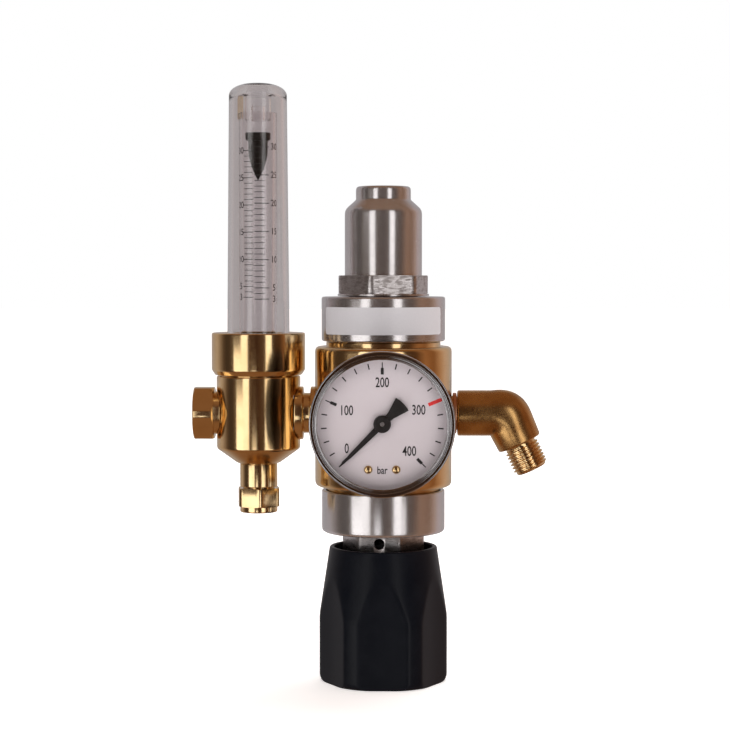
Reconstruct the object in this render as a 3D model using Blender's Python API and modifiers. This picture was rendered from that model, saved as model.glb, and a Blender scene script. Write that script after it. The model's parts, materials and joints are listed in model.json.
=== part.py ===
"""Two-stage shielding-gas regulator with a flowmeter and a contents gauge.

The spring axis is vertical: the fixed first stage is on top, the adjustable second stage and its
knob are below. Three ports lie on one level: the inlet elbow on the right, the contents gauge in
front and the outlet to the flowmeter on the left.

Every length below is in millimetres and heights are measured from the port level, with x and y
from the spring axis. The helpers turn them into Blender's metres. The whole assembly hangs on one
empty, which puts the centre of the inlet's end face at the world's origin.
"""

import math

import bmesh
import bpy
from mathutils import Vector

MM = 0.001

# Facets round a turned shape: large casings, middle-sized parts, small hidden parts.
LARGE, MIDDLE, SMALL = 24, 16, 10

# Clearances: between parts that touch, and round a part that slides.
GAP = 0.3

# The directions that a turned part's own axis can take.
UP = (0, 0, 0)
RIGHT = (0, math.pi / 2, 0)
FORWARD = (math.pi / 2, 0, 0)

# --- Regulator body -----------------------------------------------------------------------------
BODY_R = 25.5
BODY_TOP, BODY_BOTTOM = 25.0, -27.2
COLLAR_R = 21.3
NECK_R = 20.0
UPPER_NECK_TOP, LOWER_NECK_END = 33.0, -34.0
LOWER_COLLAR_R = 21.0
CAVITY_R, CAVITY_DEPTH = 16.0, 5.2
LOWER_COLLAR_END = -31.0
CHAMBER_R, SEAT_BORE_R = 5.5, 6.2
CHAMBER1_FLOOR, CHAMBER1_TOP = -2.8, 18.0
CHAMBER2_TOP, CHAMBER2_FLOOR = -6.0, -19.5
PORT_THREAD_R = 6.58  # G1/4

# --- Upper cover and first-stage housing --------------------------------------------------------
COVER_R = 23.0
COVER_BOTTOM, COVER_TOP = 26.9, 43.4
LABEL_HALF_ANGLE = math.radians(64.5)
LABEL_BOTTOM, LABEL_TOP = 29.7, 39.7
HOUSING_R, BUTTON_R = 14.35, 10.2
HOUSING_TOP, BUTTON_FOOT, SHOULDER_Z = 84.3, 79.3, 75.2
HOUSING_HEX, HOUSING_HEX_TURN = 30.0, math.radians(13.7)
HOUSING_HEX_BOTTOM, HOUSING_HEX_TOP = 44.5, 51.3
HOUSING_BORE_R, HOUSING_BORE_TOP = 11.0, 70.0
HOUSING_BOSS_R, HOUSING_FOOT_R, HOUSING_FOOT = 17.0, 12.8, 38.4
SET_SCREW_R = 3.7

# --- Diaphragm stacks: heights of the clamped faces in the upper and the lower stage -------------
DIAPHRAGM_R, DIAPHRAGM = 19.8, 0.8
DIAPHRAGM_1, DIAPHRAGM_2 = 33.3, -34.3
SLIP_RING_BORE, SLIP_RING = 16.0, 0.6
SLIP_RING_1, SLIP_RING_2 = 34.5, -35.4
STACK_R = 15.5

# --- Lower bonnet, spindle and knob -------------------------------------------------------------
BONNET_R = 22.95
BONNET_TOP, BONNET_BOTTOM = -28.6, -44.2
BONNET_HEX, BONNET_HEX_TURN = 27.0, math.radians(-6.0)
BONNET_HEX_END, BONNET_END = -57.0, -88.0
BONNET_BORE_R = 11.3
VENT_R, VENT_Z = 2.05, -47.5
SPINDLE_R, SPINDLE_TOP = 4.9, -76.1
NECK_OUTER_R, SPRING_SEAT = 13.3, -82.0
KNOB_RIM_Z, KNOB_WAIST_Z, KNOB_BOTTOM = -49.8, -75.3, -100.3
KNOB_RIM_R, KNOB_R, KNOB_BORE_R = 20.1, 23.9, 18.4
KNOB_FLOOR, KNOB_RECESS_R, KNOB_RECESS = -94.9, 11.3, 0.9
KNOB_SCREW_R, KNOB_SCREW_TOP = 1.8, -88.3
KNOB_FLATS = 43.8

# --- Inlet elbow --------------------------------------------------------------------------------
ELBOW_FACE_X, ELBOW_CORNER_X = 27.6, 45.6
ELBOW_R, KNUCKLE_R, ELBOW_LEG_R, ELBOW_SHOULDER_R = 8.3, 8.75, 8.75, 8.3
ELBOW_TILT = math.radians(25.3)  # the leg's lean from straight down
ELBOW_LEG, INLET_LENGTH = 12.4, 10.8
INLET_R, INLET_PITCH, THREAD_DEPTH = 6.58, 1.337, 0.86
PIPE_R = 4.0

# --- Flowmeter ----------------------------------------------------------------------------------
FLOW_X = -46.6
FLOW_R, FLOW_NECK_R = 15.6, 14.1
FLOW_SHOULDER, FLOW_SKIRT, FLOW_FOOT = 13.9, -13.1, -18.6
NUT_R, NUT_TOP, NUT_BOTTOM, NUT_CHAMFER_Z = 17.4, 30.0, 14.2, 16.0
CROSS_BORE_R = 5.9
SPOTFACE_LEFT, SPOTFACE_LEFT_R = -60.2, 8.4
SPOTFACE_RIGHT, SPOTFACE_RIGHT_R = -33.3, 10.4
COVER_TUBE_R, COVER_TUBE_TOP_R, COVER_TUBE_WALL = 11.6, 10.75, 1.7
COVER_TUBE_BOTTOM, COVER_TUBE_TOP, DOME_RISE = 24.2, 122.5, 3.6
COVER_TUBE_ROOF, DOME_CORNER_R = 2.2, 4.5
METER_R, METER_BORE_BOTTOM, METER_BORE_TOP = 7.1, 5.1, 5.9
METER_BOTTOM, METER_TOP = 11.5, 111.5
FLOAT_TIP, FLOAT_TOP, FLOAT_RIM_R, FLOAT_R = 86.3, 104.0, 4.7, 3.6
FLOAT_NOSE, STOP_R, STOP_FLANGE_R, STOP_FOOT = 11.0, 4.9, 6.8, 108.2
BOLT_HEX, BOLT_LEFT, BOLT_HEAD_END = 19.0, -70.6, -63.0
STEM_R, STEM_BOTTOM = 7.0, -27.5
OUTLET_HEX, OUTLET_HEX_TURN = 15.0, math.radians(-23.3)
OUTLET_NUT_TOP, OUTLET_HEX_END, OUTLET_END = -27.8, -34.9, -37.1
HOSE_BORE_R = 4.1

# --- Gauge, measured forwards from the spring axis ------------------------------------------------
CASE_R, CASE_BACK, CASE_RIM, CASE_WALL = 24.6, 37.0, 57.0, 0.8
BEZEL_R, BEZEL_FRONT, BEZEL_BACK, BEZEL_LIP_R = 25.25, 60.0, 54.8, 22.6
DIAL_R, DIAL_Y = 23.2, 53.8
POINTER_Y, POINTER_REACH, POINTER_HUB_R, POINTER_TAIL = 55.7, 20.9, 3.05, 10.2
POINTER_FAN = math.radians(35.0)
POINTER_REST = math.radians(-135.0)  # clockwise from the top, at zero pressure
PINION_TEETH, SECTOR_RATIO, PINION_PITCH_R = 12, 6, 1.6
SECTOR_TEETH = 12
SECTOR_PIVOT_ANGLE = math.radians(-45.0)
LINK_TAIL_R, LINK_TAIL_ANGLE = 3.6, math.radians(-10.0)
BOURDON_R, BOURDON_TUBE_R, BOURDON_Y = 17.5, 1.8, 45.0
MOVEMENT_R = 12.8
LINK_EYE_ANGLE = math.radians(12.0)
SCREW_X, SCREW_Z = 4.85, -15.9

INLET_END = Vector((
    ELBOW_CORNER_X + (ELBOW_LEG + INLET_LENGTH) * math.sin(ELBOW_TILT),
    0.0,
    -(ELBOW_LEG + INLET_LENGTH) * math.cos(ELBOW_TILT),
))


# --- Scene, materials and helpers ---------------------------------------------------------------

def clear_scene():
    for obj in list(bpy.data.objects):
        bpy.data.objects.remove(obj)


clear_scene()
PARTS = bpy.data.collections.new("gas_regulator")
CUTTERS = bpy.data.collections.new("cutters")
bpy.context.scene.collection.children.link(PARTS)
bpy.context.scene.collection.children.link(CUTTERS)
FRAME = bpy.data.objects.new("inlet_frame", None)
FRAME.location = -INLET_END * MM
PARTS.objects.link(FRAME)


def finish(name, colour, roughness, metallic=0.0, alpha=1.0):
    made = bpy.data.materials.new(name)
    made.use_nodes = True
    shader = made.node_tree.nodes["Principled BSDF"]
    shader.inputs["Base Color"].default_value = (*colour, 1.0)
    shader.inputs["Roughness"].default_value = roughness
    shader.inputs["Metallic"].default_value = metallic
    shader.inputs["Alpha"].default_value = alpha
    return made


BRASS = finish("brass", (0.72, 0.45, 0.16), 0.25, 1.0)
ALUMINIUM = finish("aluminium", (0.78, 0.77, 0.76), 0.28, 1.0)
STEEL = finish("steel", (0.55, 0.55, 0.56), 0.3, 1.0)
SPRING_STEEL = finish("spring_steel", (0.42, 0.42, 0.44), 0.35, 1.0)
CHROME = finish("chrome", (0.8, 0.8, 0.82), 0.12, 1.0)
COPPER = finish("copper", (0.8, 0.42, 0.25), 0.3, 1.0)
BLACK_PLASTIC = finish("black_plastic", (0.02, 0.02, 0.025), 0.42)
CLEAR_PLASTIC = finish("clear_plastic", (0.9, 0.88, 0.9), 0.05, alpha=0.3)
WINDOW_PLASTIC = finish("window_plastic", (0.95, 0.95, 0.95), 0.03, alpha=0.2)
DIAL_WHITE = finish("dial_white", (0.85, 0.84, 0.84), 0.5)
POINTER_BLACK = finish("pointer_black", (0.01, 0.01, 0.01), 0.5)
LABEL_GREY = finish("label_grey", (0.75, 0.76, 0.78), 0.35)
RUBBER = finish("rubber", (0.03, 0.03, 0.03), 0.8)
SINTER = finish("sintered_bronze", (0.5, 0.34, 0.2), 0.7, 1.0)


def place(name, data, surface, at=(0, 0, 0), turn=UP, cutter=False):
    """An object at a point in millimetres from the port crossing."""
    obj = bpy.data.objects.new(name, data)
    obj.location = Vector(at) * MM
    obj.rotation_euler = turn
    obj.parent = FRAME
    if surface:
        data.materials.append(surface)
    if cutter:
        CUTTERS.objects.link(obj)
        obj.hide_render = True
        obj.display_type = "WIRE"
    else:
        PARTS.objects.link(obj)
    return obj


def turned(name, profile, surface=None, segments=MIDDLE, at=(0, 0, 0), turn=UP, cutter=False):
    """A lathe part: (radius, height) points that run down the outer side. A profile that starts
    and ends on the axis is a solid; any other one closes on itself as a ring."""
    mesh = bpy.data.meshes.new(name)
    points = [(r * MM, 0.0, z * MM) for r, z in profile]
    edges = [(i, i + 1) for i in range(len(points) - 1)]
    if profile[0][0] > 0:
        edges.append((len(points) - 1, 0))
    mesh.from_pydata(points, edges, [])
    obj = place(name, mesh, surface, at, turn, cutter)
    screw = obj.modifiers.new("lathe", "SCREW")
    screw.axis = "Z"
    screw.angle = math.tau
    screw.steps = screw.render_steps = segments
    screw.use_merge_vertices = True
    screw.merge_threshold = 1e-6
    screw.use_smooth_shade = False
    return obj


def cylinder(name, radius, low, high, segments=SMALL, at=(0, 0, 0), turn=UP):
    """A plain cylinder cutter between two heights on its own axis."""
    profile = [(0, high), (radius, high), (radius, low), (0, low)]
    return turned(name, profile, None, segments, at, turn, cutter=True)


def hexagon(name, across_flats, low, high, phase=0.0, at=(0, 0, 0), turn=UP, chamfer=0.7):
    """A hexagon bar whose corners are turned back by a chamfer at both ends, as a cutter. Its
    phase is the angle of one corner from the first axis."""
    corner_r = across_flats / math.sqrt(3)
    mesh = bpy.data.meshes.new(name)
    bar = bmesh.new()
    bmesh.ops.create_cone(bar, cap_ends=True, segments=6, radius1=corner_r * MM,
                          radius2=corner_r * MM, depth=(high - low) * MM)
    spin = phase - math.pi / 2
    for vertex in bar.verts:
        x, y, z = vertex.co
        vertex.co = (x * math.cos(spin) - y * math.sin(spin),
                     x * math.sin(spin) + y * math.cos(spin),
                     z + (high + low) / 2 * MM)
    bar.to_mesh(mesh)
    bar.free()
    obj = place(name, mesh, None, at, turn, cutter=True)
    if chamfer:
        wide_r, slope = corner_r * 1.03, math.tan(math.radians(30))
        inner_r = corner_r - chamfer / slope
        drop = (wide_r - inner_r) * slope
        barrel = [(0, high), (inner_r, high), (wide_r, high - drop),
                  (wide_r, low + drop), (inner_r, low), (0, low)]
        combine(obj, "INTERSECT", turned(name + "_barrel", barrel, None, MIDDLE, at, turn, True))
    return obj


def combine(obj, operation, *others):
    """Joins, cuts or intersects an object with helper objects, as live Boolean modifiers."""
    for other in others:
        step = obj.modifiers.new(operation.lower(), "BOOLEAN")
        step.operation = operation
        step.object = other
    return obj


def wire(name, points, radius, surface, sides=1):
    """A round wire along points in millimetres."""
    data = bpy.data.curves.new(name, "CURVE")
    data.dimensions = "3D"
    data.bevel_depth = radius * MM
    data.bevel_resolution = sides
    data.use_fill_caps = True
    spline = data.splines.new("POLY")
    spline.points.add(len(points) - 1)
    for slot, point in zip(spline.points, points):
        slot.co = (*(Vector(point) * MM), 1.0)
    return place(name, data, surface)


def coil(name, radius, low, high, turns, wire_r, surface, per_turn=9, sides=1):
    """A compression spring round the spring axis, between two faces."""
    low, high = low + wire_r, high - wire_r
    count = int(turns * per_turn)
    points = []
    for i in range(count + 1):
        share = i / count
        angle = math.tau * turns * share
        points.append((radius * math.cos(angle), radius * math.sin(angle),
                       low + (high - low) * share))
    return wire(name, points, wire_r, surface, sides)


def flat_plate(name, outlines, low, high, surface, at=(0, 0, 0), turn=UP, cutter=False):
    """A plate cut from flat outlines, the later ones being holes, as a closed mesh."""
    curve = bpy.data.curves.new(name + "_outline", "CURVE")
    curve.dimensions = "2D"
    curve.fill_mode = "BOTH"
    curve.extrude = (high - low) / 2 * MM
    for outline in outlines:
        spline = curve.splines.new("POLY")
        spline.use_cyclic_u = True
        spline.points.add(len(outline) - 1)
        for slot, (x, y) in zip(spline.points, outline):
            slot.co = (x * MM, y * MM, 0.0, 1.0)
    source = bpy.data.objects.new(name + "_outline", curve)
    bpy.context.scene.collection.objects.link(source)
    graph = bpy.context.evaluated_depsgraph_get()
    mesh = bpy.data.meshes.new_from_object(source.evaluated_get(graph))
    bpy.data.objects.remove(source)
    plate = bmesh.new()
    plate.from_mesh(mesh)
    bmesh.ops.remove_doubles(plate, verts=plate.verts, dist=1e-7)
    bmesh.ops.translate(plate, verts=plate.verts, vec=(0, 0, (high + low) / 2 * MM))
    bmesh.ops.recalc_face_normals(plate, faces=plate.faces)
    plate.to_mesh(mesh)
    plate.free()
    mesh.materials.clear()
    return place(name, mesh, surface, at, turn, cutter)


def circle(radius, count, centre=(0, 0), start=0.0):
    return [(centre[0] + radius * math.cos(start + math.tau * i / count),
             centre[1] + radius * math.sin(start + math.tau * i / count)) for i in range(count)]


def ball(name, radius, surface, at, segments, cutter=False):
    mesh = bpy.data.meshes.new(name)
    sphere = bmesh.new()
    bmesh.ops.create_uvsphere(
        sphere, u_segments=segments, v_segments=segments // 2, radius=radius * MM)
    sphere.to_mesh(mesh)
    sphere.free()
    return place(name, mesh, surface, at, UP, cutter)


def o_ring(name, radius, section, surface, at, turn=UP):
    """A sealing ring, as a torus primitive."""
    bpy.ops.mesh.primitive_torus_add(
        major_radius=radius * MM, minor_radius=section * MM, major_segments=20, minor_segments=6)
    made = bpy.context.object
    mesh = made.data
    bpy.data.objects.remove(made)
    return place(name, mesh, surface, at, turn)


# --- Regulator body -----------------------------------------------------------------------------

def build_body():
    """The brass block: two diaphragm cavities, two valve chambers, three ports and two channels."""
    cavity1 = UPPER_NECK_TOP - CAVITY_DEPTH
    cavity2 = LOWER_NECK_END + CAVITY_DEPTH
    body = turned("regulator_body", [
        (0, CHAMBER1_FLOOR), (CHAMBER_R, CHAMBER1_FLOOR), (CHAMBER_R, CHAMBER1_TOP),
        (SEAT_BORE_R, CHAMBER1_TOP), (SEAT_BORE_R, cavity1), (CAVITY_R, cavity1),
        (CAVITY_R, UPPER_NECK_TOP), (NECK_R, UPPER_NECK_TOP), (NECK_R, COVER_BOTTOM - GAP),
        (COLLAR_R, COVER_BOTTOM - GAP), (COLLAR_R, BODY_TOP), (BODY_R - 1.6, BODY_TOP),
        (BODY_R - 0.4, BODY_TOP - 0.5), (BODY_R, BODY_TOP - 1.6), (BODY_R, BODY_BOTTOM + 2.4),
        (BODY_R - 0.8, BODY_BOTTOM + 0.7), (BODY_R - 2.4, BODY_BOTTOM),
        (LOWER_COLLAR_R, BODY_BOTTOM), (LOWER_COLLAR_R, LOWER_COLLAR_END), (NECK_R, LOWER_COLLAR_END),
        (NECK_R, LOWER_NECK_END), (CAVITY_R, LOWER_NECK_END), (CAVITY_R, cavity2),
        (SEAT_BORE_R, cavity2), (SEAT_BORE_R, CHAMBER2_FLOOR), (CHAMBER_R, CHAMBER2_FLOOR),
        (CHAMBER_R, CHAMBER2_TOP), (0, CHAMBER2_TOP),
    ], BRASS, LARGE)
    port = PORT_THREAD_R + GAP
    between = Vector((0, 4.8, CHAMBER2_FLOOR + 1.5)), Vector((0, 14.4, cavity1 + 1.0))
    lean = (between[1] - between[0])
    combine(
        body, "DIFFERENCE",
        cylinder("inlet_port", port, 16.0, BODY_R + 1, MIDDLE, turn=RIGHT),
        cylinder("inlet_drilling", 2.2, 0.0, 17.0, turn=RIGHT),
        cylinder("outlet_port", port, -BODY_R - 1, -17.0, MIDDLE, turn=RIGHT),
        cylinder("outlet_spotface", SPOTFACE_RIGHT_R, -BODY_R - 1, -24.7, MIDDLE, turn=RIGHT),
        cylinder("outlet_drilling", 2.5, -18.0, -12.4, turn=RIGHT),
        cylinder("outlet_riser", 1.8, cavity2 - 1, 1.5, at=(-13.6, 0, 0)),
        cylinder("gauge_port", port, 14.0, BODY_R + 1, MIDDLE, turn=FORWARD),
        cylinder("gauge_drilling", 1.5, 0.0, 15.0, turn=FORWARD),
        cylinder("stage_channel", 1.2, 0.0, lean.length, at=between[0],
                 turn=(-math.atan2(lean.y, lean.z), 0, 0)),
    )


def build_first_stage():
    """Cover, housing, set screw, spring, diaphragm stack and valve of the fixed stage on top."""
    turned("upper_cover", [
        (COVER_R - 0.6, COVER_TOP), (COVER_R, COVER_TOP - 0.6), (COVER_R, COVER_BOTTOM + 0.6),
        (COVER_R - 0.6, COVER_BOTTOM), (NECK_R + GAP, COVER_BOTTOM),
        (NECK_R + GAP, SLIP_RING_1 + SLIP_RING + GAP), (STACK_R, SLIP_RING_1 + SLIP_RING + GAP),
        (STACK_R, 38.0), (HOUSING_FOOT_R + GAP, 38.0), (HOUSING_FOOT_R + GAP, COVER_TOP),
    ], ALUMINIUM, LARGE)
    build_label()

    housing = turned("stage1_housing", [
        (0, HOUSING_TOP), (BUTTON_R - 0.8, HOUSING_TOP), (BUTTON_R, HOUSING_TOP - 0.8),
        (BUTTON_R, BUTTON_FOOT), (HOUSING_R - 0.4, SHOULDER_Z + 0.9), (HOUSING_R, SHOULDER_Z),
        (HOUSING_R, HOUSING_HEX_BOTTOM), (HOUSING_BOSS_R, HOUSING_HEX_BOTTOM),
        (HOUSING_BOSS_R, COVER_TOP + GAP), (HOUSING_FOOT_R, COVER_TOP + GAP),
        (HOUSING_FOOT_R, HOUSING_FOOT), (0, HOUSING_FOOT),
    ], ALUMINIUM, LARGE)
    combine(housing, "UNION", hexagon("housing_hexagon", HOUSING_HEX, HOUSING_HEX_BOTTOM - 0.1,
                                      HOUSING_HEX_TOP, HOUSING_HEX_TURN))
    combine(housing, "DIFFERENCE", turned("housing_bore", [
        (0, HOUSING_TOP + 1), (SET_SCREW_R + GAP, HOUSING_TOP + 1),
        (SET_SCREW_R + GAP, HOUSING_BORE_TOP), (HOUSING_BORE_R, HOUSING_BORE_TOP),
        (HOUSING_BORE_R, HOUSING_FOOT - 1), (0, HOUSING_FOOT - 1),
    ], None, MIDDLE, cutter=True))

    screw = turned("stage1_set_screw", [
        (0, 80.3), (SET_SCREW_R - 0.5, 80.3), (SET_SCREW_R, 79.8), (SET_SCREW_R, 68.2), (2.6, 66.8),
        (0, 66.8),
    ], STEEL, SMALL)
    combine(screw, "DIFFERENCE", hexagon("set_screw_socket", 4.0, 76.5, 81.0, chamfer=0))
    turned("stage1_spring_plate", [
        (0, 66.5), (10.2, 66.5), (10.2, 63.6), (6.4, 63.6), (6.0, 61.6), (0, 61.6),
    ], STEEL, SMALL)
    coil("stage1_spring", 8.3, 37.0, 63.3, 5.5, 1.25, SPRING_STEEL)
    turned("stage1_diaphragm_plate", [
        (0, 38.8), (6.0, 38.8), (6.4, 36.7), (12.0, 36.7), (12.0, 34.4), (0, 34.4),
    ], ALUMINIUM, MIDDLE)
    slip_ring("upper_slip_ring", SLIP_RING_1)
    diaphragm("stage1_diaphragm", DIAPHRAGM_1)
    turned("stage1_pin", [
        (0, 33.0), (5.0, 33.0), (5.0, 32.0), (1.0, 32.0), (1.0, 18.3), (0, 18.3),
    ], STEEL, SMALL)
    turned("stage1_seat", seat_profile(1), BRASS, SMALL)
    turned("stage1_poppet", [
        (0, 18.0), (2.6, 18.0), (3.0, 17.5), (3.0, 13.0), (4.6, 13.0), (4.6, 11.5), (2.0, 11.5),
        (2.0, 6.5), (0, 6.5),
    ], BRASS, SMALL)
    coil("stage1_poppet_spring", 3.7, CHAMBER1_FLOOR + GAP, 11.2, 4.5, 0.4, SPRING_STEEL, 10)


def slip_ring(name, low):
    """The thin ring between a clamped diaphragm and the cover that is screwed onto it."""
    turned(name, [(DIAPHRAGM_R, low + SLIP_RING), (DIAPHRAGM_R, low), (SLIP_RING_BORE, low),
                  (SLIP_RING_BORE, low + SLIP_RING)], STEEL, MIDDLE)


def diaphragm(name, low):
    """A plain rubber disc."""
    turned(name, [(0, low + DIAPHRAGM), (DIAPHRAGM_R, low + DIAPHRAGM), (DIAPHRAGM_R, low),
                  (0, low)], RUBBER, MIDDLE)


def seat_profile(side):
    """The valve seat's ring: flange in the diaphragm cavity, lip facing the poppet. The profile
    of the lower stage is the upper one upside down, so it runs the other way round."""
    top = UPPER_NECK_TOP - CAVITY_DEPTH
    lip = CHAMBER1_TOP + GAP
    if side < 0:
        top, lip = -(LOWER_NECK_END + CAVITY_DEPTH), -CHAMBER2_FLOOR + GAP
    points = [
        (1.5, top + 2.3), (6.8, top + 2.3), (7.3, top + 1.8), (7.3, top + GAP),
        (SEAT_BORE_R - GAP, top + GAP), (SEAT_BORE_R - GAP, lip + 0.9), (2.4, lip + 0.9),
        (2.2, lip), (1.5, lip),
    ]
    if side > 0:
        return points
    return [(r, -z) for r, z in reversed(points)]


def build_label():
    """A thin curved plate on the front of the cover."""
    steps = 20
    label = bpy.data.meshes.new("label_plate")
    grid = bmesh.new()
    bmesh.ops.create_grid(grid, x_segments=steps, y_segments=1, size=1.0)
    for vertex in grid.verts:
        angle = vertex.co.x * LABEL_HALF_ANGLE
        height = LABEL_BOTTOM if vertex.co.y < 0 else LABEL_TOP
        radius = COVER_R + GAP
        vertex.co = (radius * math.sin(angle) * MM, -radius * math.cos(angle) * MM, height * MM)
    grid.to_mesh(label)
    grid.free()
    plate = place("label_plate", label, LABEL_GREY)
    shell = plate.modifiers.new("thickness", "SOLIDIFY")
    shell.thickness = 0.3 * MM
    shell.offset = 1.0


def build_second_stage():
    """Bonnet, diaphragm stack, valve and spring of the adjustable stage below."""
    bonnet = turned("lower_bonnet", [
        (0, BONNET_TOP), (BONNET_R - 0.3, BONNET_TOP), (BONNET_R, BONNET_TOP - 0.3),
        (BONNET_R, BONNET_BOTTOM + 1.4), (BONNET_R - 1.2, BONNET_BOTTOM),
        (NECK_OUTER_R, BONNET_BOTTOM), (NECK_OUTER_R, BONNET_END), (0, BONNET_END),
    ], ALUMINIUM, LARGE)
    combine(bonnet, "UNION", hexagon("bonnet_hexagon", BONNET_HEX, BONNET_HEX_END,
                                     BONNET_BOTTOM + 2, BONNET_HEX_TURN))
    combine(bonnet, "DIFFERENCE", turned("bonnet_bore", [
        (0, BONNET_TOP + 1), (LOWER_COLLAR_R + 0.5, BONNET_TOP + 1),
        (LOWER_COLLAR_R + 0.5, LOWER_COLLAR_END - GAP), (NECK_R + GAP, LOWER_COLLAR_END - GAP),
        (NECK_R + GAP, SLIP_RING_2 - SLIP_RING - GAP), (STACK_R, SLIP_RING_2 - SLIP_RING - GAP),
        (STACK_R, -41.0), (BONNET_BORE_R, -41.0), (BONNET_BORE_R, SPRING_SEAT),
        (SPINDLE_R + GAP, SPRING_SEAT), (SPINDLE_R + GAP, BONNET_END - 1), (0, BONNET_END - 1),
    ], None, LARGE, cutter=True),
        cylinder("vents", VENT_R, -20.0, 20.0, SMALL, at=(0, 0, VENT_Z),
                 turn=(math.pi / 2, 0, BONNET_HEX_TURN)))

    diaphragm("stage2_diaphragm", DIAPHRAGM_2 - DIAPHRAGM)
    slip_ring("lower_slip_ring", SLIP_RING_2 - SLIP_RING)
    turned("stage2_diaphragm_plate", [
        (0, -35.4), (12.0, -35.4), (12.0, -37.6), (6.4, -37.6), (6.0, -39.7), (0, -39.7),
    ], ALUMINIUM, MIDDLE)
    turned("stage2_pin", [
        (0, -19.8), (1.0, -19.8), (1.0, -33.0), (5.0, -33.0), (5.0, -34.0), (0, -34.0),
    ], STEEL, SMALL)
    turned("stage2_seat", seat_profile(-1), BRASS, SMALL)
    turned("stage2_poppet", [
        (0, -9.7), (2.0, -9.7), (2.0, -13.0), (4.6, -13.0), (4.6, -14.5), (3.0, -14.5),
        (3.0, -19.0), (2.6, -19.5), (0, -19.5),
    ], BRASS, SMALL)
    coil("stage2_poppet_spring", 3.7, -12.7, CHAMBER2_TOP - GAP, 3, 0.4, SPRING_STEEL, 10)
    coil("adjusting_spring", 8.4, -67.7, -37.9, 6, 1.35, SPRING_STEEL)


def build_adjuster():
    """Thrust pad and ball, the spindle and the fluted knob fixed to it."""
    turned("thrust_pad", [
        (0, -66.0), (6.0, -66.0), (6.4, -68.0), (10.9, -68.0), (10.9, -71.5), (3.0, -71.5),
        (3.0, -70.5), (0, -70.5),
    ], STEEL, MIDDLE)
    ball("thrust_ball", 2.5, STEEL, (0, 0, -73.3), SMALL)

    spindle = turned("spindle", [
        (0, SPINDLE_TOP), (SPINDLE_R - 0.7, SPINDLE_TOP), (SPINDLE_R, SPINDLE_TOP - 0.7),
        (SPINDLE_R, KNOB_FLOOR), (0, KNOB_FLOOR),
    ], STEEL, SMALL)
    combine(spindle, "UNION", hexagon("spindle_head", 14.0, KNOB_FLOOR - 2.6, KNOB_FLOOR + 0.1,
                                      chamfer=0.4))
    combine(spindle, "DIFFERENCE", cylinder("spindle_thread", KNOB_SCREW_R + GAP, KNOB_FLOOR - 4,
                                            KNOB_SCREW_TOP + 1))
    head_top, head_end = KNOB_BOTTOM + 2.4, KNOB_BOTTOM + 1.0
    turned("knob_screw", [
        (0, KNOB_SCREW_TOP), (KNOB_SCREW_R, KNOB_SCREW_TOP), (KNOB_SCREW_R, head_top),
        (2 * KNOB_SCREW_R, head_end), (0, head_end),
    ], STEEL, SMALL)
    build_knob()
    cap_r, cap_top, cap_end = KNOB_RECESS_R - GAP, KNOB_BOTTOM + 0.65, KNOB_BOTTOM + 0.1
    turned("knob_cap", [(0, cap_top), (cap_r, cap_top), (cap_r, cap_end), (0, cap_end)],
           BLACK_PLASTIC, MIDDLE)


def build_knob():
    """A conical skirt over a cylinder with six flats, and a hexagon pocket inside."""
    web = KNOB_BOTTOM + KNOB_RECESS
    knob = turned("knob", [
        (KNOB_BORE_R, KNOB_RIM_Z), (KNOB_RIM_R - 0.5, KNOB_RIM_Z), (KNOB_RIM_R, KNOB_RIM_Z - 0.5),
        (KNOB_R - 0.15, KNOB_WAIST_Z + 1.5), (KNOB_R, KNOB_WAIST_Z - 1.0),
        (KNOB_R, KNOB_BOTTOM + 3.4), (KNOB_R - 0.5, KNOB_BOTTOM + 1.1),
        (KNOB_R - 1.5, KNOB_BOTTOM), (KNOB_RECESS_R, KNOB_BOTTOM), (KNOB_RECESS_R, web),
        (4.0, web), (2.2, web + 1.4), (2.2, KNOB_FLOOR), (KNOB_BORE_R, KNOB_FLOOR),
    ], BLACK_PLASTIC, LARGE)
    combine(knob, "DIFFERENCE", hexagon("knob_pocket", 14.6, KNOB_FLOOR - 2.9, KNOB_FLOOR + 1,
                                        chamfer=0))
    combine(knob, "INTERSECT", hexagon("knob_flats", KNOB_FLATS, KNOB_BOTTOM - 1, KNOB_RIM_Z + 1,
                                       chamfer=0))


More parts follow.
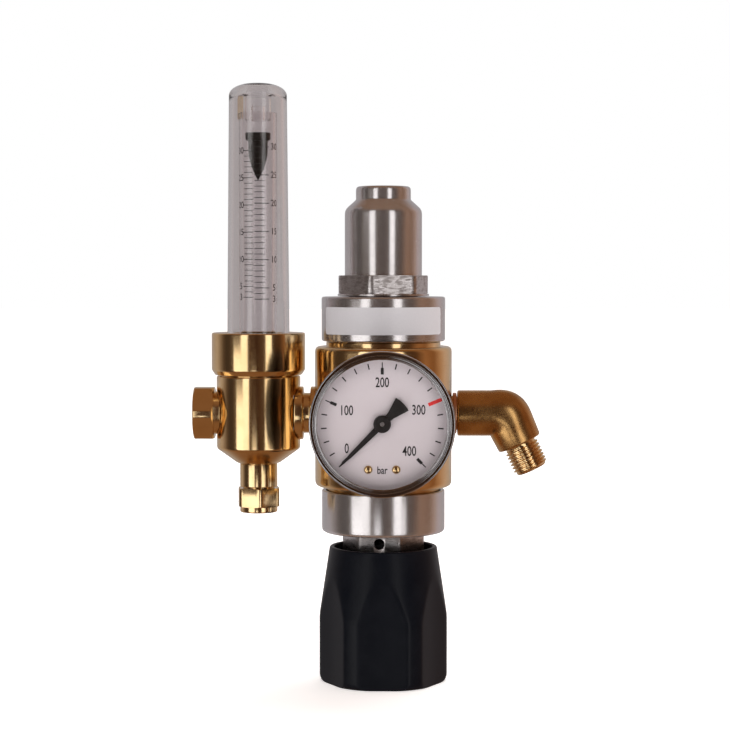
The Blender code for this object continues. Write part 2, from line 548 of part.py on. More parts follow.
def build_inlet():
    """The elbow that brings gas in, its seal and the filter in its arm."""
    arm = turned("inlet_elbow", [
        (0, ELBOW_CORNER_X), (ELBOW_R, ELBOW_CORNER_X), (ELBOW_R, ELBOW_FACE_X + 0.5),
        (ELBOW_R - 0.5, ELBOW_FACE_X), (PORT_THREAD_R, ELBOW_FACE_X), (PORT_THREAD_R, 17.0),
        (0, 17.0),
    ], BRASS, MIDDLE, turn=RIGHT)
    corner = (ELBOW_CORNER_X, 0, 0)
    down = (0, math.pi - ELBOW_TILT, 0)
    leg = [(0, ELBOW_LEG + INLET_LENGTH), *thread_outline(), (ELBOW_SHOULDER_R, ELBOW_LEG),
           (ELBOW_LEG_R, 4.0), (ELBOW_R, 0.0), (0, 0.0)]
    combine(
        arm, "UNION",
        ball("elbow_knuckle", KNUCKLE_R, None, corner, MIDDLE, cutter=True),
        turned("elbow_leg", leg, None, MIDDLE, corner, down, cutter=True),
    )
    combine(
        arm, "DIFFERENCE",
        cylinder("elbow_arm_bore", PIPE_R, 16.0, ELBOW_CORNER_X, SMALL, turn=RIGHT),
        ball("elbow_bore_corner", PIPE_R + 0.3, None, corner, SMALL, cutter=True),
        cylinder("elbow_leg_bore", PIPE_R - 0.2, 0.0, ELBOW_LEG + INLET_LENGTH + 1, SMALL, corner, down),
    )
    turned("elbow_seal", [(7.6, 27.3), (7.6, 25.9), (6.9, 25.9), (6.9, 27.3)],
           COPPER, MIDDLE, turn=RIGHT)
    turned("inlet_filter", [
        (0, 40.0), (3.4, 40.0), (3.7, 39.6), (3.7, 29.0), (2.4, 29.0), (2.4, 37.5), (0, 37.5),
    ], SINTER, SMALL, turn=RIGHT)


def thread_outline():
    """The inlet's male thread as rings, from its end back to the undercut at the shoulder."""
    root = INLET_R - THREAD_DEPTH
    end = ELBOW_LEG + INLET_LENGTH
    points = [(INLET_R - 0.75, end), (root + 0.25, end - 0.5)]
    z = end - 0.95
    while z - INLET_PITCH > ELBOW_LEG + 1.2:
        points += [(INLET_R, z), (root, z - INLET_PITCH / 2)]
        z -= INLET_PITCH
    points += [(INLET_R, z), (root, z - 0.6), (root, ELBOW_LEG)]
    return points


def build_outlet_joint():
    """The adapter between regulator and flowmeter, the hollow bolt through it and its seals."""
    adapter = turned("outlet_adapter", [
        (0, -17.8), (PORT_THREAD_R, -17.8), (PORT_THREAD_R, -25.0), (9.9, -25.0), (9.9, -27.1),
        (7.5, -27.1), (7.5, -29.8), (9.9, -29.8), (9.9, -33.0), (8.0, -33.0), (8.0, -31.9),
        (6.4, -31.9), (6.4, -33.0), (0, -33.0),
    ], BRASS, MIDDLE, turn=RIGHT)
    combine(adapter, "DIFFERENCE",
            cylinder("adapter_socket", 5.5, -34.0, -21.5, SMALL, turn=RIGHT),
            cylinder("adapter_drilling", 2.5, -22.0, -17.0, SMALL, turn=RIGHT))

    bolt = turned("banjo_bolt", [
        (0, -22.5), (4.8, -22.5), (5.2, -23.0), (5.2, -60.5), (5.9, -60.5), (5.9, -61.6),
        (7.3, -61.6), (7.3, -60.5), (8.0, -60.5), (8.0, -64.0), (0, -64.0),
    ], BRASS, MIDDLE, turn=RIGHT)
    combine(bolt, "UNION", hexagon("bolt_head", BOLT_HEX, BOLT_LEFT, BOLT_HEAD_END,
                                   math.pi / 2, turn=RIGHT))
    combine(bolt, "DIFFERENCE",
            cylinder("bolt_drilling", 2.2, FLOW_X - 2.0, -21.0, SMALL, turn=RIGHT),
            cylinder("bolt_cross_hole", 1.5, -8.0, 8.0, SMALL, at=(FLOW_X, 0, 0)))
    o_ring("banjo_seal_left", 6.6, 0.5, RUBBER, (-60.95, 0, 0), RIGHT)
    o_ring("banjo_seal_right", 7.2, 0.5, RUBBER, (-32.55, 0, 0), RIGHT)


def build_flowmeter():
    """Brass body, ring nut, clear cover, metering tube, stop, float and seal."""
    centre = (FLOW_X, 0, 0)
    body = turned("flow_body", [
        (0, 10.2), (5.0, 10.2), (5.0, METER_BOTTOM - GAP), (METER_R + GAP, METER_BOTTOM - GAP),
        (METER_R + GAP, 19.0), (9.6, 19.0), (9.6, 23.9), (FLOW_NECK_R, 23.9),
        (FLOW_NECK_R, FLOW_SHOULDER), (FLOW_R, FLOW_SHOULDER), (FLOW_R, FLOW_SKIRT),
        (8.0, FLOW_FOOT), (6.2, FLOW_FOOT), (6.2, -15.5), (7.2, -15.5), (7.2, -12.0),
        (0, -12.0),
    ], BRASS, LARGE, centre)
    slope = math.atan2(12.0 - 6.4, 20.0 + 13.0)
    channels = [
        cylinder(f"return_channel_{side}", 1.2, -14.0, 21.0, SMALL,
                 at=(FLOW_X, side * 8.8, 0), turn=(-side * slope, 0, 0))
        for side in (-1, 1)
    ]
    combine(
        body, "DIFFERENCE",
        cylinder("cross_bore", CROSS_BORE_R, -65.0, -28.0, MIDDLE, turn=RIGHT),
        cylinder("left_spotface", SPOTFACE_LEFT_R, -66.0, SPOTFACE_LEFT, MIDDLE, turn=RIGHT),
        cylinder("right_spotface", SPOTFACE_RIGHT_R, SPOTFACE_RIGHT, -28.0, MIDDLE, turn=RIGHT),
        cylinder("feed_drilling", 2.0, 0.0, 12.0, SMALL, centre),
        *channels,
    )

    turned("tube_nut", [
        (12.0, NUT_TOP), (NUT_R - 0.5, NUT_TOP), (NUT_R, NUT_TOP - 0.5), (NUT_R, NUT_CHAMFER_Z),
        (FLOW_R, NUT_BOTTOM), (FLOW_NECK_R + GAP, NUT_BOTTOM), (FLOW_NECK_R + GAP, 27.1),
        (12.0, 27.1),
    ], BRASS, LARGE, centre)

    dome = [(0, COVER_TUBE_TOP)]
    corner_r = COVER_TUBE_TOP_R - DOME_CORNER_R
    for i in range(5):
        angle = math.radians(90 - 22.5 * i)
        dome.append((corner_r + DOME_CORNER_R * math.cos(angle),
                     COVER_TUBE_TOP - DOME_RISE * (1 - math.sin(angle))))
    inner_top = COVER_TUBE_TOP - COVER_TUBE_ROOF
    turned("flow_cover", [
        *dome, (COVER_TUBE_R, 27.0), (13.6, 26.8), (13.6, COVER_TUBE_BOTTOM + 0.5),
        (COVER_TUBE_R - COVER_TUBE_WALL, COVER_TUBE_BOTTOM + 0.5),
        (COVER_TUBE_TOP_R - COVER_TUBE_WALL, inner_top - 1.5),
        (COVER_TUBE_TOP_R - COVER_TUBE_WALL - 1.5, inner_top), (0, inner_top),
    ], CLEAR_PLASTIC, LARGE, centre)
    turned("metering_tube", [
        (METER_BORE_TOP, METER_TOP), (METER_R, METER_TOP), (METER_R, METER_BOTTOM),
        (2.5, METER_BOTTOM), (METER_BORE_BOTTOM, METER_BOTTOM + 3.0),
    ], CLEAR_PLASTIC, MIDDLE, centre)
    build_float_stop(centre)
    build_float(centre)
    o_ring("cover_seal", 8.3, 0.9, RUBBER, (FLOW_X, 0, 20.6))


def build_float_stop(centre):
    """A clear plug between the cover's dome and the top of the metering tube, with a key pin."""
    top = COVER_TUBE_TOP - COVER_TUBE_ROOF - 0.5
    stop = turned("float_stop", [
        (0, top), (STOP_FLANGE_R, top), (STOP_FLANGE_R, top - 1.4), (STOP_R, top - 1.8),
        (STOP_R, STOP_FOOT + 0.4), (STOP_R - 0.9, STOP_FOOT), (0, STOP_FOOT),
    ], CLEAR_PLASTIC, MIDDLE, centre)
    combine(stop, "UNION", turned("stop_key", [
        (0, top - 0.4), (1.1, top - 0.4), (1.1, METER_TOP + 1.5), (0.6, METER_TOP + 0.5),
        (0, METER_TOP + 0.5),
    ], None, SMALL, (FLOW_X - 6.2, 0, 0), cutter=True))
    combine(stop, "DIFFERENCE", cylinder("stop_hollow", 2.2, STOP_FOOT - 1, STOP_FOOT + 5.8, SMALL,
                                         centre))


def build_float(centre):
    """A bullet with its point down and a notched rim on top."""
    nose = []
    for i in range(7):
        share = i / 6
        nose.append((FLOAT_R * (1 - share ** 1.8), FLOAT_TIP + FLOAT_NOSE * (1 - share)))
    drop = turned("flow_float", [
        (0, FLOAT_TOP), (FLOAT_RIM_R, FLOAT_TOP), (FLOAT_RIM_R - 0.1, FLOAT_TOP - 2.6),
        (FLOAT_R, FLOAT_TOP - 2.9), *nose[:-1], (0, FLOAT_TIP),
    ], POINTER_BLACK, MIDDLE, centre)
    notches = [
        cylinder(f"float_notch_{i}", 0.45, -4.0, 1.0, 8,
                 (FLOW_X + FLOAT_RIM_R * math.cos(math.tau * i / 6),
                  FLOAT_RIM_R * math.sin(math.tau * i / 6), FLOAT_TOP),
                 (0, 0, 0))
        for i in range(6)
    ]
    combine(drop, "DIFFERENCE", *notches)


def build_outlet():
    """The stem under the flowmeter and the nut that clamps a hose on its ferrule."""
    centre = (FLOW_X, 0, 0)
    turned("outlet_stem", [
        (HOSE_BORE_R - 1.6, -15.9), (5.9, -15.9), (5.9, FLOW_FOOT - GAP), (STEM_R, FLOW_FOOT - GAP),
        (STEM_R, STEM_BOTTOM), (5.6, STEM_BOTTOM), (5.6, -31.0), (4.9, -31.6),
        (HOSE_BORE_R, -31.6), (HOSE_BORE_R, -26.0), (HOSE_BORE_R - 1.6, -26.0),
    ], BRASS, MIDDLE, centre)
    nut = turned("outlet_nut", [
        (0, OUTLET_NUT_TOP - 0.4), (STEM_R - 0.2, OUTLET_NUT_TOP - 0.4), (STEM_R, OUTLET_HEX_END),
        (STEM_R, OUTLET_END + 0.5), (STEM_R - 0.5, OUTLET_END), (0, OUTLET_END),
    ], BRASS, MIDDLE, centre)
    combine(nut, "UNION", hexagon("outlet_hexagon", OUTLET_HEX, OUTLET_HEX_END, OUTLET_NUT_TOP,
                                  OUTLET_HEX_TURN, at=centre, chamfer=0.5))
    combine(nut, "DIFFERENCE", turned("outlet_nut_bore", [
        (0, -27.0), (5.9, -27.0), (5.9, -34.6), (HOSE_BORE_R, -35.6), (HOSE_BORE_R, -38.0),
        (0, -38.0),
    ], None, SMALL, centre, cutter=True))
    turned("outlet_ferrule", [(4.9, -32.0), (5.5, -32.8), (5.5, -34.3), (4.3, -34.9),
                              (4.2, -32.0)], BRASS, SMALL, centre)


# --- Gauge --------------------------------------------------------------------------------------

def build_gauge_case():
    """Case, bezel, window, dial and the stem that screws into the regulator."""
    turned("gauge_case", [
        (CASE_R - CASE_WALL, CASE_RIM), (CASE_R, CASE_RIM), (CASE_R, CASE_BACK + 1.2),
        (CASE_R - 1.2, CASE_BACK), (7.5, CASE_BACK), (7.5, CASE_BACK + CASE_WALL),
        (CASE_R - CASE_WALL, CASE_BACK + CASE_WALL),
    ], STEEL, LARGE, turn=FORWARD)
    turned("gauge_bezel", [
        (BEZEL_LIP_R, BEZEL_FRONT - 0.3), (BEZEL_LIP_R + 0.4, BEZEL_FRONT),
        (BEZEL_R - 0.9, BEZEL_FRONT), (BEZEL_R, BEZEL_FRONT - 0.9), (BEZEL_R, BEZEL_BACK),
        (CASE_R + GAP, BEZEL_BACK), (CASE_R + GAP, BEZEL_FRONT - 1.1),
        (BEZEL_LIP_R, BEZEL_FRONT - 1.1),
    ], CHROME, LARGE, turn=FORWARD)
    turned("gauge_window", [
        (0, BEZEL_FRONT - 1.4), (CASE_R - 0.2, BEZEL_FRONT - 1.4), (CASE_R - 0.2, CASE_RIM + GAP),
        (0, CASE_RIM + GAP),
    ], WINDOW_PLASTIC, LARGE, turn=FORWARD)
    dial = turned("gauge_dial", [
        (1.8, DIAL_Y + 0.5), (DIAL_R, DIAL_Y + 0.5), (DIAL_R, DIAL_Y), (1.8, DIAL_Y),
    ], DIAL_WHITE, LARGE, turn=FORWARD)
    combine(dial, "DIFFERENCE", *[
        cylinder(f"dial_hole_{side}", 0.9, DIAL_Y - 1, DIAL_Y + 1, 10,
                 (side * SCREW_X, 0, SCREW_Z), FORWARD)
        for side in (-1, 1)
    ])
    for word, side in (("left", -1), ("right", 1)):
        turned(f"dial_screw_{word}", [
            (0, 55.3), (0.9, 55.15), (1.5, 54.6), (0.6, 54.6), (0.6, 48.8), (0, 48.8),
        ], BRASS, 12, (side * SCREW_X, 0, SCREW_Z), FORWARD)

    socket = turned("gauge_socket", [
        (0, 40.6), (7.2, 40.6), (7.2, CASE_BACK - 1.0), (5.4, CASE_BACK - 1.0), (5.4, 28.5),
        (PORT_THREAD_R, 28.0), (PORT_THREAD_R, 16.0), (0, 16.0),
    ], BRASS, MIDDLE, turn=FORWARD)
    combine(
        socket, "UNION",
        hexagon("socket_hexagon", 14.0, 27.6, CASE_BACK - 0.6, turn=FORWARD, chamfer=0.5),
        flat_plate("socket_block", [box_outline(-3.5, 3.5, -20.0, 0.0)], 38.1, 40.8, None,
                   turn=FORWARD, cutter=True),
        flat_plate("socket_lug", [box_outline(-3.3, 3.3, -19.8, -15.4)], 38.4, 47.5, None,
                   turn=FORWARD, cutter=True),
    )
    combine(socket, "DIFFERENCE", cylinder("socket_drilling", 1.5, 15.0, 39.5, 12, turn=FORWARD))
    turned("gauge_seal", [(8.8, 27.3), (8.8, 25.8), (6.9, 25.8), (6.9, 27.3)],
           COPPER, MIDDLE, turn=FORWARD)


def box_outline(left, right, bottom, top):
    return [(left, bottom), (right, bottom), (right, top), (left, top)]


def gauge_point(radius, angle, forward):
    """A point on the gauge, by its angle anticlockwise from the right as seen from the front."""
    return (radius * math.cos(angle), -forward, radius * math.sin(angle))


def build_gauge_movement():
    """Bourdon tube, frame, sector, pinion, link and pointer."""
    start = -math.pi / 2 - math.asin(3.9 / BOURDON_R)
    end = LINK_EYE_ANGLE + math.radians(4.5) - math.tau
    count = 26
    wire("bourdon_tube", [
        gauge_point(BOURDON_R, start + (end - start) * i / count, BOURDON_Y)
        for i in range(count + 1)
    ], BOURDON_TUBE_R, BRASS, 1)

    plates = [circle(MOVEMENT_R, MIDDLE), circle(1.1, SMALL)]
    frame = flat_plate("movement_frame", plates, 49.0, 49.8, BRASS, turn=FORWARD)
    ears = Vector((-SCREW_X, SCREW_Z)), Vector((SCREW_X, SCREW_Z))
    combine(frame, "UNION",
            flat_plate("movement_back", plates, 41.1, 41.9, None, turn=FORWARD, cutter=True),
            flat_plate("dial_ears", [rounded_bar(*ears, 1.9)], 49.1, 49.7, None,
                       turn=FORWARD, cutter=True),
            flat_plate("ear_strip", [box_outline(-2.0, 2.0, SCREW_Z, -MOVEMENT_R + 1)],
                       49.15, 49.65, None, turn=FORWARD, cutter=True),
            *[cylinder(f"pillar_{i}", 1.0, 41.5, 49.4, SMALL, (x, 0, z), FORWARD)
              for i, (x, z) in enumerate(((0, 10.5), (-9.0, -5.5), (9.8, 3.5)))])
    combine(frame, "DIFFERENCE", *[
        cylinder(f"ear_hole_{side}", 0.9, 48.0, 51.0, SMALL, (side * SCREW_X, 0, SCREW_Z), FORWARD)
        for side in (-1, 1)
    ])

    pinion = flat_plate("pinion_arbor", [gear_outline()], 43.6, 45.6, STEEL, turn=FORWARD)
    combine(pinion, "UNION", turned("arbor", [
        (0, 56.6), (0.8, 56.6), (0.8, 40.0 + 1.3), (0, 40.0 + 1.3),
    ], None, 12, turn=FORWARD, cutter=True))

    build_sector()
    build_pointer()


def gear_outline():
    """Twelve short teeth, each with a flat tip, one of them facing the sector's pivot."""
    module = 2 * PINION_PITCH_R / PINION_TEETH
    outline = []
    for i in range(PINION_TEETH):
        middle = SECTOR_PIVOT_ANGLE + math.tau * i / PINION_TEETH
        half = math.tau / PINION_TEETH
        for radius, share in ((PINION_PITCH_R - 1.1 * module, -0.24),
                              (PINION_PITCH_R + 0.55 * module, -0.08),
                              (PINION_PITCH_R + 0.55 * module, 0.08),
                              (PINION_PITCH_R - 1.1 * module, 0.24)):
            angle = middle + share * half
            outline.append((radius * math.cos(angle), radius * math.sin(angle)))
    return outline


def build_sector():
    """The toothed sector below the arbor on the right, its tail and the link to the tube's tip."""
    pitch_r = PINION_PITCH_R * SECTOR_RATIO
    module = 2 * PINION_PITCH_R / PINION_TEETH
    distance = pitch_r + PINION_PITCH_R
    pivot = (distance * math.cos(SECTOR_PIVOT_ANGLE), distance * math.sin(SECTOR_PIVOT_ANGLE))
    inward = SECTOR_PIVOT_ANGLE + math.pi
    step = math.tau / (PINION_TEETH * SECTOR_RATIO)
    outline = []
    # The pinion's tooth faces the pivot at rest, so a gap of the sector faces the arbor there.
    # The sector turns anticlockwise, so its teeth lie clockwise of that gap.
    for i in range(SECTOR_TEETH):
        middle = inward + (1.5 - SECTOR_TEETH + i) * step
        for radius, share in ((pitch_r - 1.0 * module, -0.24), (pitch_r + 0.55 * module, -0.09),
                              (pitch_r + 0.55 * module, 0.09), (pitch_r - 1.0 * module, 0.24)):
            angle = middle + share * step
            outline.append((radius * math.cos(angle), radius * math.sin(angle)))
    back = inward + math.pi
    outline += [(1.6 * math.cos(back + side * 0.9), 1.6 * math.sin(back + side * 0.9))
                for side in (-1, 1)]
    tail = Vector((LINK_TAIL_R * math.cos(LINK_TAIL_ANGLE),
                   LINK_TAIL_R * math.sin(LINK_TAIL_ANGLE)))
    place_at = (pivot[0], 0, pivot[1])
    sector = flat_plate("sector_gear", [outline], 44.1, 45.1, BRASS, place_at, FORWARD)
    combine(sector, "UNION", flat_plate("sector_tail", [rounded_bar(Vector((0, 0)), tail, 1.0)],
                                        44.2, 45.0, None, place_at, FORWARD, cutter=True))
    combine(sector, "UNION", turned("sector_arbor", [
        (0, 48.6), (0.7, 48.6), (0.7, 45.4), (1.2, 45.4), (1.2, 43.8), (0.7, 43.8), (0.7, 42.6),
        (0, 42.6),
    ], None, 10, place_at, FORWARD, cutter=True))

    tail_at = Vector(pivot) + tail
    eye_at = Vector((BOURDON_R * math.cos(LINK_EYE_ANGLE), BOURDON_R * math.sin(LINK_EYE_ANGLE)))
    flat_plate("gauge_link", [rounded_bar(Vector((0, 0)), eye_at - tail_at, 0.9)], 45.5, 46.1,
               BRASS, (tail_at.x, 0, tail_at.y), FORWARD)


def rounded_bar(start, end, radius):
    """The outline of a bar with round ends, between two points."""
    heading = math.atan2(end.y - start.y, end.x - start.x)
    outline = []
    for centre, facing in ((end, heading), (start, heading + math.pi)):
        for i in range(7):
            angle = facing - math.pi / 2 + math.pi * i / 6
            outline.append((centre.x + radius * math.cos(angle),
                            centre.y + radius * math.sin(angle)))
    return outline


def build_pointer():
    """A broad needle, a round hub and a flared tail, on the arbor's end."""
    needle = [(-1.0, 2.5), (-0.55, 18.0), (0.0, POINTER_REACH), (0.55, 18.0), (1.0, 2.5)]
    tail = []
    for i in range(7):
        angle = POINTER_FAN * (0.5 - i / 6) - math.pi / 2
        tail.append((POINTER_TAIL * math.cos(angle), POINTER_TAIL * math.sin(angle)))
    outline = needle + [(1.2, -2.8), (1.35, -4.4)] + tail + [(-1.35, -4.4), (-1.2, -2.8)]
    spin = -POINTER_REST
    turned_outline = [(x * math.cos(spin) - y * math.sin(spin),
                       x * math.sin(spin) + y * math.cos(spin)) for x, y in outline]
    pointer = flat_plate("gauge_pointer", [turned_outline], POINTER_Y, POINTER_Y + 0.45,
                         POINTER_BLACK, turn=FORWARD)
    combine(pointer, "UNION", turned("pointer_hub", [
        (0, 56.9), (2.6, 56.9), (POINTER_HUB_R, 56.5), (POINTER_HUB_R, 55.4), (0, 55.4),
    ], None, MIDDLE, turn=FORWARD, cutter=True))
    combine(pointer, "DIFFERENCE", cylinder("pointer_bore", 1.1, 55.0, 58.0, 12, turn=FORWARD))


build_body()
build_first_stage()
build_second_stage()
build_adjuster()
build_inlet()
build_outlet_joint()
build_flowmeter()
build_outlet()
build_gauge_case()
build_gauge_movement()
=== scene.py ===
import json
import math

import bmesh
import bpy
from mathutils import Matrix, Vector


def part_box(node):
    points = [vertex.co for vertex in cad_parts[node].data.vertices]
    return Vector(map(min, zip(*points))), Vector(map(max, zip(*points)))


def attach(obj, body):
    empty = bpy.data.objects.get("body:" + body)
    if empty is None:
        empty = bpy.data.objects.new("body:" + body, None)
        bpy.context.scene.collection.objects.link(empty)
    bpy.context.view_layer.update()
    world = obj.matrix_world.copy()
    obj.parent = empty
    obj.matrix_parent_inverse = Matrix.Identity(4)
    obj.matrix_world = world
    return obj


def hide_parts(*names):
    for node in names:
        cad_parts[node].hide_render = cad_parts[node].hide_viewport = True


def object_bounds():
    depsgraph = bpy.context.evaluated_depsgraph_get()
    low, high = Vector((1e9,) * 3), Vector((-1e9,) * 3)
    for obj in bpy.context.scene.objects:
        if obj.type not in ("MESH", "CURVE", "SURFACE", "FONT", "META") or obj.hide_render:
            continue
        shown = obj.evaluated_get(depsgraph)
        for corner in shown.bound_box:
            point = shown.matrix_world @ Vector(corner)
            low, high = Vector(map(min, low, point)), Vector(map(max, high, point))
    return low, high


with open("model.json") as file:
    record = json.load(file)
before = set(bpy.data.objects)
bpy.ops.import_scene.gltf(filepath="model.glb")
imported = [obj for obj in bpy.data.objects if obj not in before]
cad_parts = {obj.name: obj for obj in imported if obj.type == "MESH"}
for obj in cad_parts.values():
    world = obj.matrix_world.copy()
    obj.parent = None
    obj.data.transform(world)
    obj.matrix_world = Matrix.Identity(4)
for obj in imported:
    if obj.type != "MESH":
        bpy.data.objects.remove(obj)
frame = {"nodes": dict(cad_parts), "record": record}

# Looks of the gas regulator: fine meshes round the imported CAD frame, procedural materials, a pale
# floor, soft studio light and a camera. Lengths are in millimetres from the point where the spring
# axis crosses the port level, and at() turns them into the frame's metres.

cad_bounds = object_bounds()

MM = 0.001
UP = Matrix.Identity(3)
RIGHT = Matrix.Rotation(math.pi / 2, 3, "Y")
FORWARD = Matrix.Rotation(math.pi / 2, 3, "X")


def centre_of(node):
    low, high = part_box(node)
    return (low + high) / 2


# The frame's own places: the spring axis, the port level and the flowmeter's axis.
ORIGIN = Vector((*centre_of("regulator_body").xy, centre_of("gauge_bezel").z))
FLOW_X = (centre_of("flow_body").x - ORIGIN.x) / MM
FLOOR_Z = (cad_bounds[0].z - ORIGIN.z) / MM
FLOOR_SIZE, LIGHT_DISTANCE = 8.0, 1.3


def height_of(node, end):
    """The lowest (0) or highest (1) level of a node, in millimetres from the port level."""
    return (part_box(node)[end].z - ORIGIN.z) / MM


# Facets round a large, a middle-sized and a small turned piece, and the gap that is welded.
LARGE, MIDDLE, SMALL = 144, 96, 48
WELD = 0.002


def at(x, y, z):
    return ORIGIN + Vector((x, y, z)) * MM


def stand(name, data, where=(0, 0, 0), turn=UP):
    """Puts data in the scene as an object at a place in millimetres."""
    obj = bpy.data.objects.new(name, data)
    bpy.context.scene.collection.objects.link(obj)
    obj.matrix_world = Matrix.Translation(at(*where)) @ turn.to_4x4()
    return obj


# --- Mesh building ---

def rounded(points, steps=4):
    """A profile whose points may carry a third value, the length by which the corner is rounded."""
    outline = []
    for i, point in enumerate(points):
        here = Vector(point[:2])
        if len(point) < 3:
            outline.append(tuple(here))
            continue
        before = Vector(points[i - 1][:2])
        after = Vector(points[(i + 1) % len(points)][:2])
        reach = min(point[2], (before - here).length * 0.48, (after - here).length * 0.48)
        start = here + (before - here).normalized() * reach
        end = here + (after - here).normalized() * reach
        for k in range(steps + 1):
            t = k / steps
            outline.append(tuple(start * (1 - t) ** 2 + here * 2 * t * (1 - t) + end * t ** 2))
    return outline


def mesh_of(name, made):
    """The mesh of a finished bmesh."""
    mesh = bpy.data.meshes.new(name)
    made.to_mesh(mesh)
    made.free()
    return mesh


def spun_mesh(name, rings, segments, start=0.0):
    """A mesh of rings round local Z. A ring is (radius, height) or a function of the angle. Rings
    that don't start on the axis close on themselves."""
    made = bmesh.new()
    rows = []
    for ring in rings:
        if not callable(ring) and ring[0] == 0:
            rows.append([made.verts.new((0, 0, ring[1] * MM))])
            continue
        row = []
        for j in range(segments):
            angle = start + math.tau * j / segments
            radius, height = ring(angle) if callable(ring) else ring
            row.append(made.verts.new((radius * math.cos(angle) * MM,
                                       radius * math.sin(angle) * MM, height * MM)))
        rows.append(row)
    pairs = list(zip(rows, rows[1:]))
    if len(rows[0]) > 1:
        pairs.append((rows[-1], rows[0]))
    for upper, lower in pairs:
        for j in range(segments):
            k = (j + 1) % segments
            corners = [upper[j % len(upper)], upper[k % len(upper)],
                       lower[k % len(lower)], lower[j % len(lower)]]
            unique = list(dict.fromkeys(corners))
            if len(unique) > 2:
                made.faces.new(unique)
    bmesh.ops.remove_doubles(made, verts=made.verts, dist=WELD * MM)
    bmesh.ops.recalc_face_normals(made, faces=made.faces)
    return mesh_of(name, made)


def smooth(mesh, sharp=35.0):
    """Smooth shading with hard edges above an angle in degrees."""
    mesh.shade_smooth()
    mesh.set_sharp_from_angle(angle=math.radians(sharp))


def add(name, mesh, look, where=(0, 0, 0), turn=UP, body="body", replaces=(), sharp=35.0):
    """A visible piece, riding on a body of the frame."""
    obj = stand(name, mesh, where, turn)
    mesh.materials.append(look)
    smooth(mesh, sharp)
    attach(obj, body)
    slot = next(slot for slot, looks in SLOT_LOOKS.items() if look in looks)
    if replaces:
        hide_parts(*replaces)
    obj.visible_shadow = slot != "clear_plastic"
    return obj


def turned(name, profile, look, where=(0, 0, 0), turn=UP, segments=MIDDLE, start=0.0, **riding):
    mesh = spun_mesh(name, rounded_rings(profile), segments, start)
    return add(name, mesh, look, where, turn, **riding)


def rounded_rings(profile):
    """Rounds the corners between plain points and leaves ring functions as they are."""
    rings, run = [], []
    for point in [*profile, None]:
        if point is None or callable(point):
            rings += rounded(run)
            rings += [point] if point else []
            run = []
        else:
            run.append(point)
    return rings


def hex_radius(flats, corner_at, angle, round_off=0.02):
    """The radius at an angle of a hexagon whose corners are turned off by a share of it."""
    offset = (angle - corner_at) % (math.pi / 3) - math.pi / 6
    return min(flats / 2 / math.cos(offset), flats / math.sqrt(3) * (1 - round_off))


def hex_rings(flats, corner_at, high, low, chamfer_high=True, land=1.06, round_off=0.02):
    """The rings of a hexagon from high to low. Turned chamfers take its corners off in arcs, and
    land is their inner radius as a share of the inscribed one."""
    inner = flats / 2 * land
    slope = math.tan(math.radians(30))

    def edge(height):
        return lambda angle: (min(inner, hex_radius(flats, corner_at, angle, round_off)), height)

    def side(height, sign):
        def point(angle):
            radius = hex_radius(flats, corner_at, angle, round_off)
            return radius, height - sign * max(0.0, radius - inner) * slope
        return point

    rings = [edge(high), side(high, 1)] if chamfer_high else [side(high, 0)]
    return rings + [side(low, -1), edge(low)]


def cut(obj, *cutters):
    """Cuts helper meshes out of a piece and applies it, so that no helper stays in the scene."""
    for cutter in cutters:
        step = obj.modifiers.new("cut", "BOOLEAN")
        step.operation = "DIFFERENCE"
        step.object = cutter
    bake(obj, cutters)


def bake(obj, helpers=()):
    """Replaces a piece's mesh by what its modifiers make of it."""
    graph = bpy.context.evaluated_depsgraph_get()
    made = bpy.data.meshes.new_from_object(obj.evaluated_get(graph))
    obj.modifiers.clear()
    obj.data = made
    smooth(made)
    for helper in helpers:
        bpy.data.objects.remove(helper)


def cutter(radius, low, high, where=(0, 0, 0), turn=UP, segments=MIDDLE):
    rings = [(0, high), (radius, high), (radius, low), (0, low)]
    return stand("cutter", spun_mesh("cutter", rings, segments), where, turn)


def soften(obj, width, segments, angle):
    """A fine bevel along a piece's sharp edges, which catches the light as real edges do."""
    bevel = obj.modifiers.new("edges", "BEVEL")
    bevel.width = width * MM
    bevel.segments = segments
    bevel.limit_method = "ANGLE"
    bevel.angle_limit = math.radians(angle)
    bake(obj)


# --- Materials ---

# A quarter turn of the highlight, from along a lathe's grooves to across them.
ACROSS_GROOVES = 0.25


class Nodes:
    """Builds a node tree. A value is a number, a colour or another node's output."""

    def __init__(self, tree):
        self.tree = tree

    def node(self, kind, **settings):
        made = self.tree.nodes.new(kind)
        for key, value in settings.items():
            setattr(made, key, value)
        return made

    def link(self, source, target):
        self.tree.links.new(source, target)

    def feed(self, target, value):
        if isinstance(value, bpy.types.NodeSocket):
            self.link(value, target)
        else:
            target.default_value = (*value, 1.0) if isinstance(value, tuple) else value

    def maths(self, operation, *values):
        made = self.node("ShaderNodeMath", operation=operation)
        for target, value in zip(made.inputs, values):
            self.feed(target, value)
        return made.outputs[0]

    def spread(self, value, low, high, from_low=0.3, from_high=0.7, kind="LINEAR"):
        """Maps a value onto a range."""
        made = self.node("ShaderNodeMapRange", interpolation_type=kind)
        for target, number in zip(made.inputs, (value, from_low, from_high, low, high)):
            self.feed(target, number)
        return made.outputs["Result"]

    def mix(self, factor, first, second):
        made = self.node("ShaderNodeMix", data_type="RGBA")
        self.link(factor, made.inputs["Factor"])
        self.feed(made.inputs[6], first)
        self.feed(made.inputs[7], second)
        return made.outputs[2]


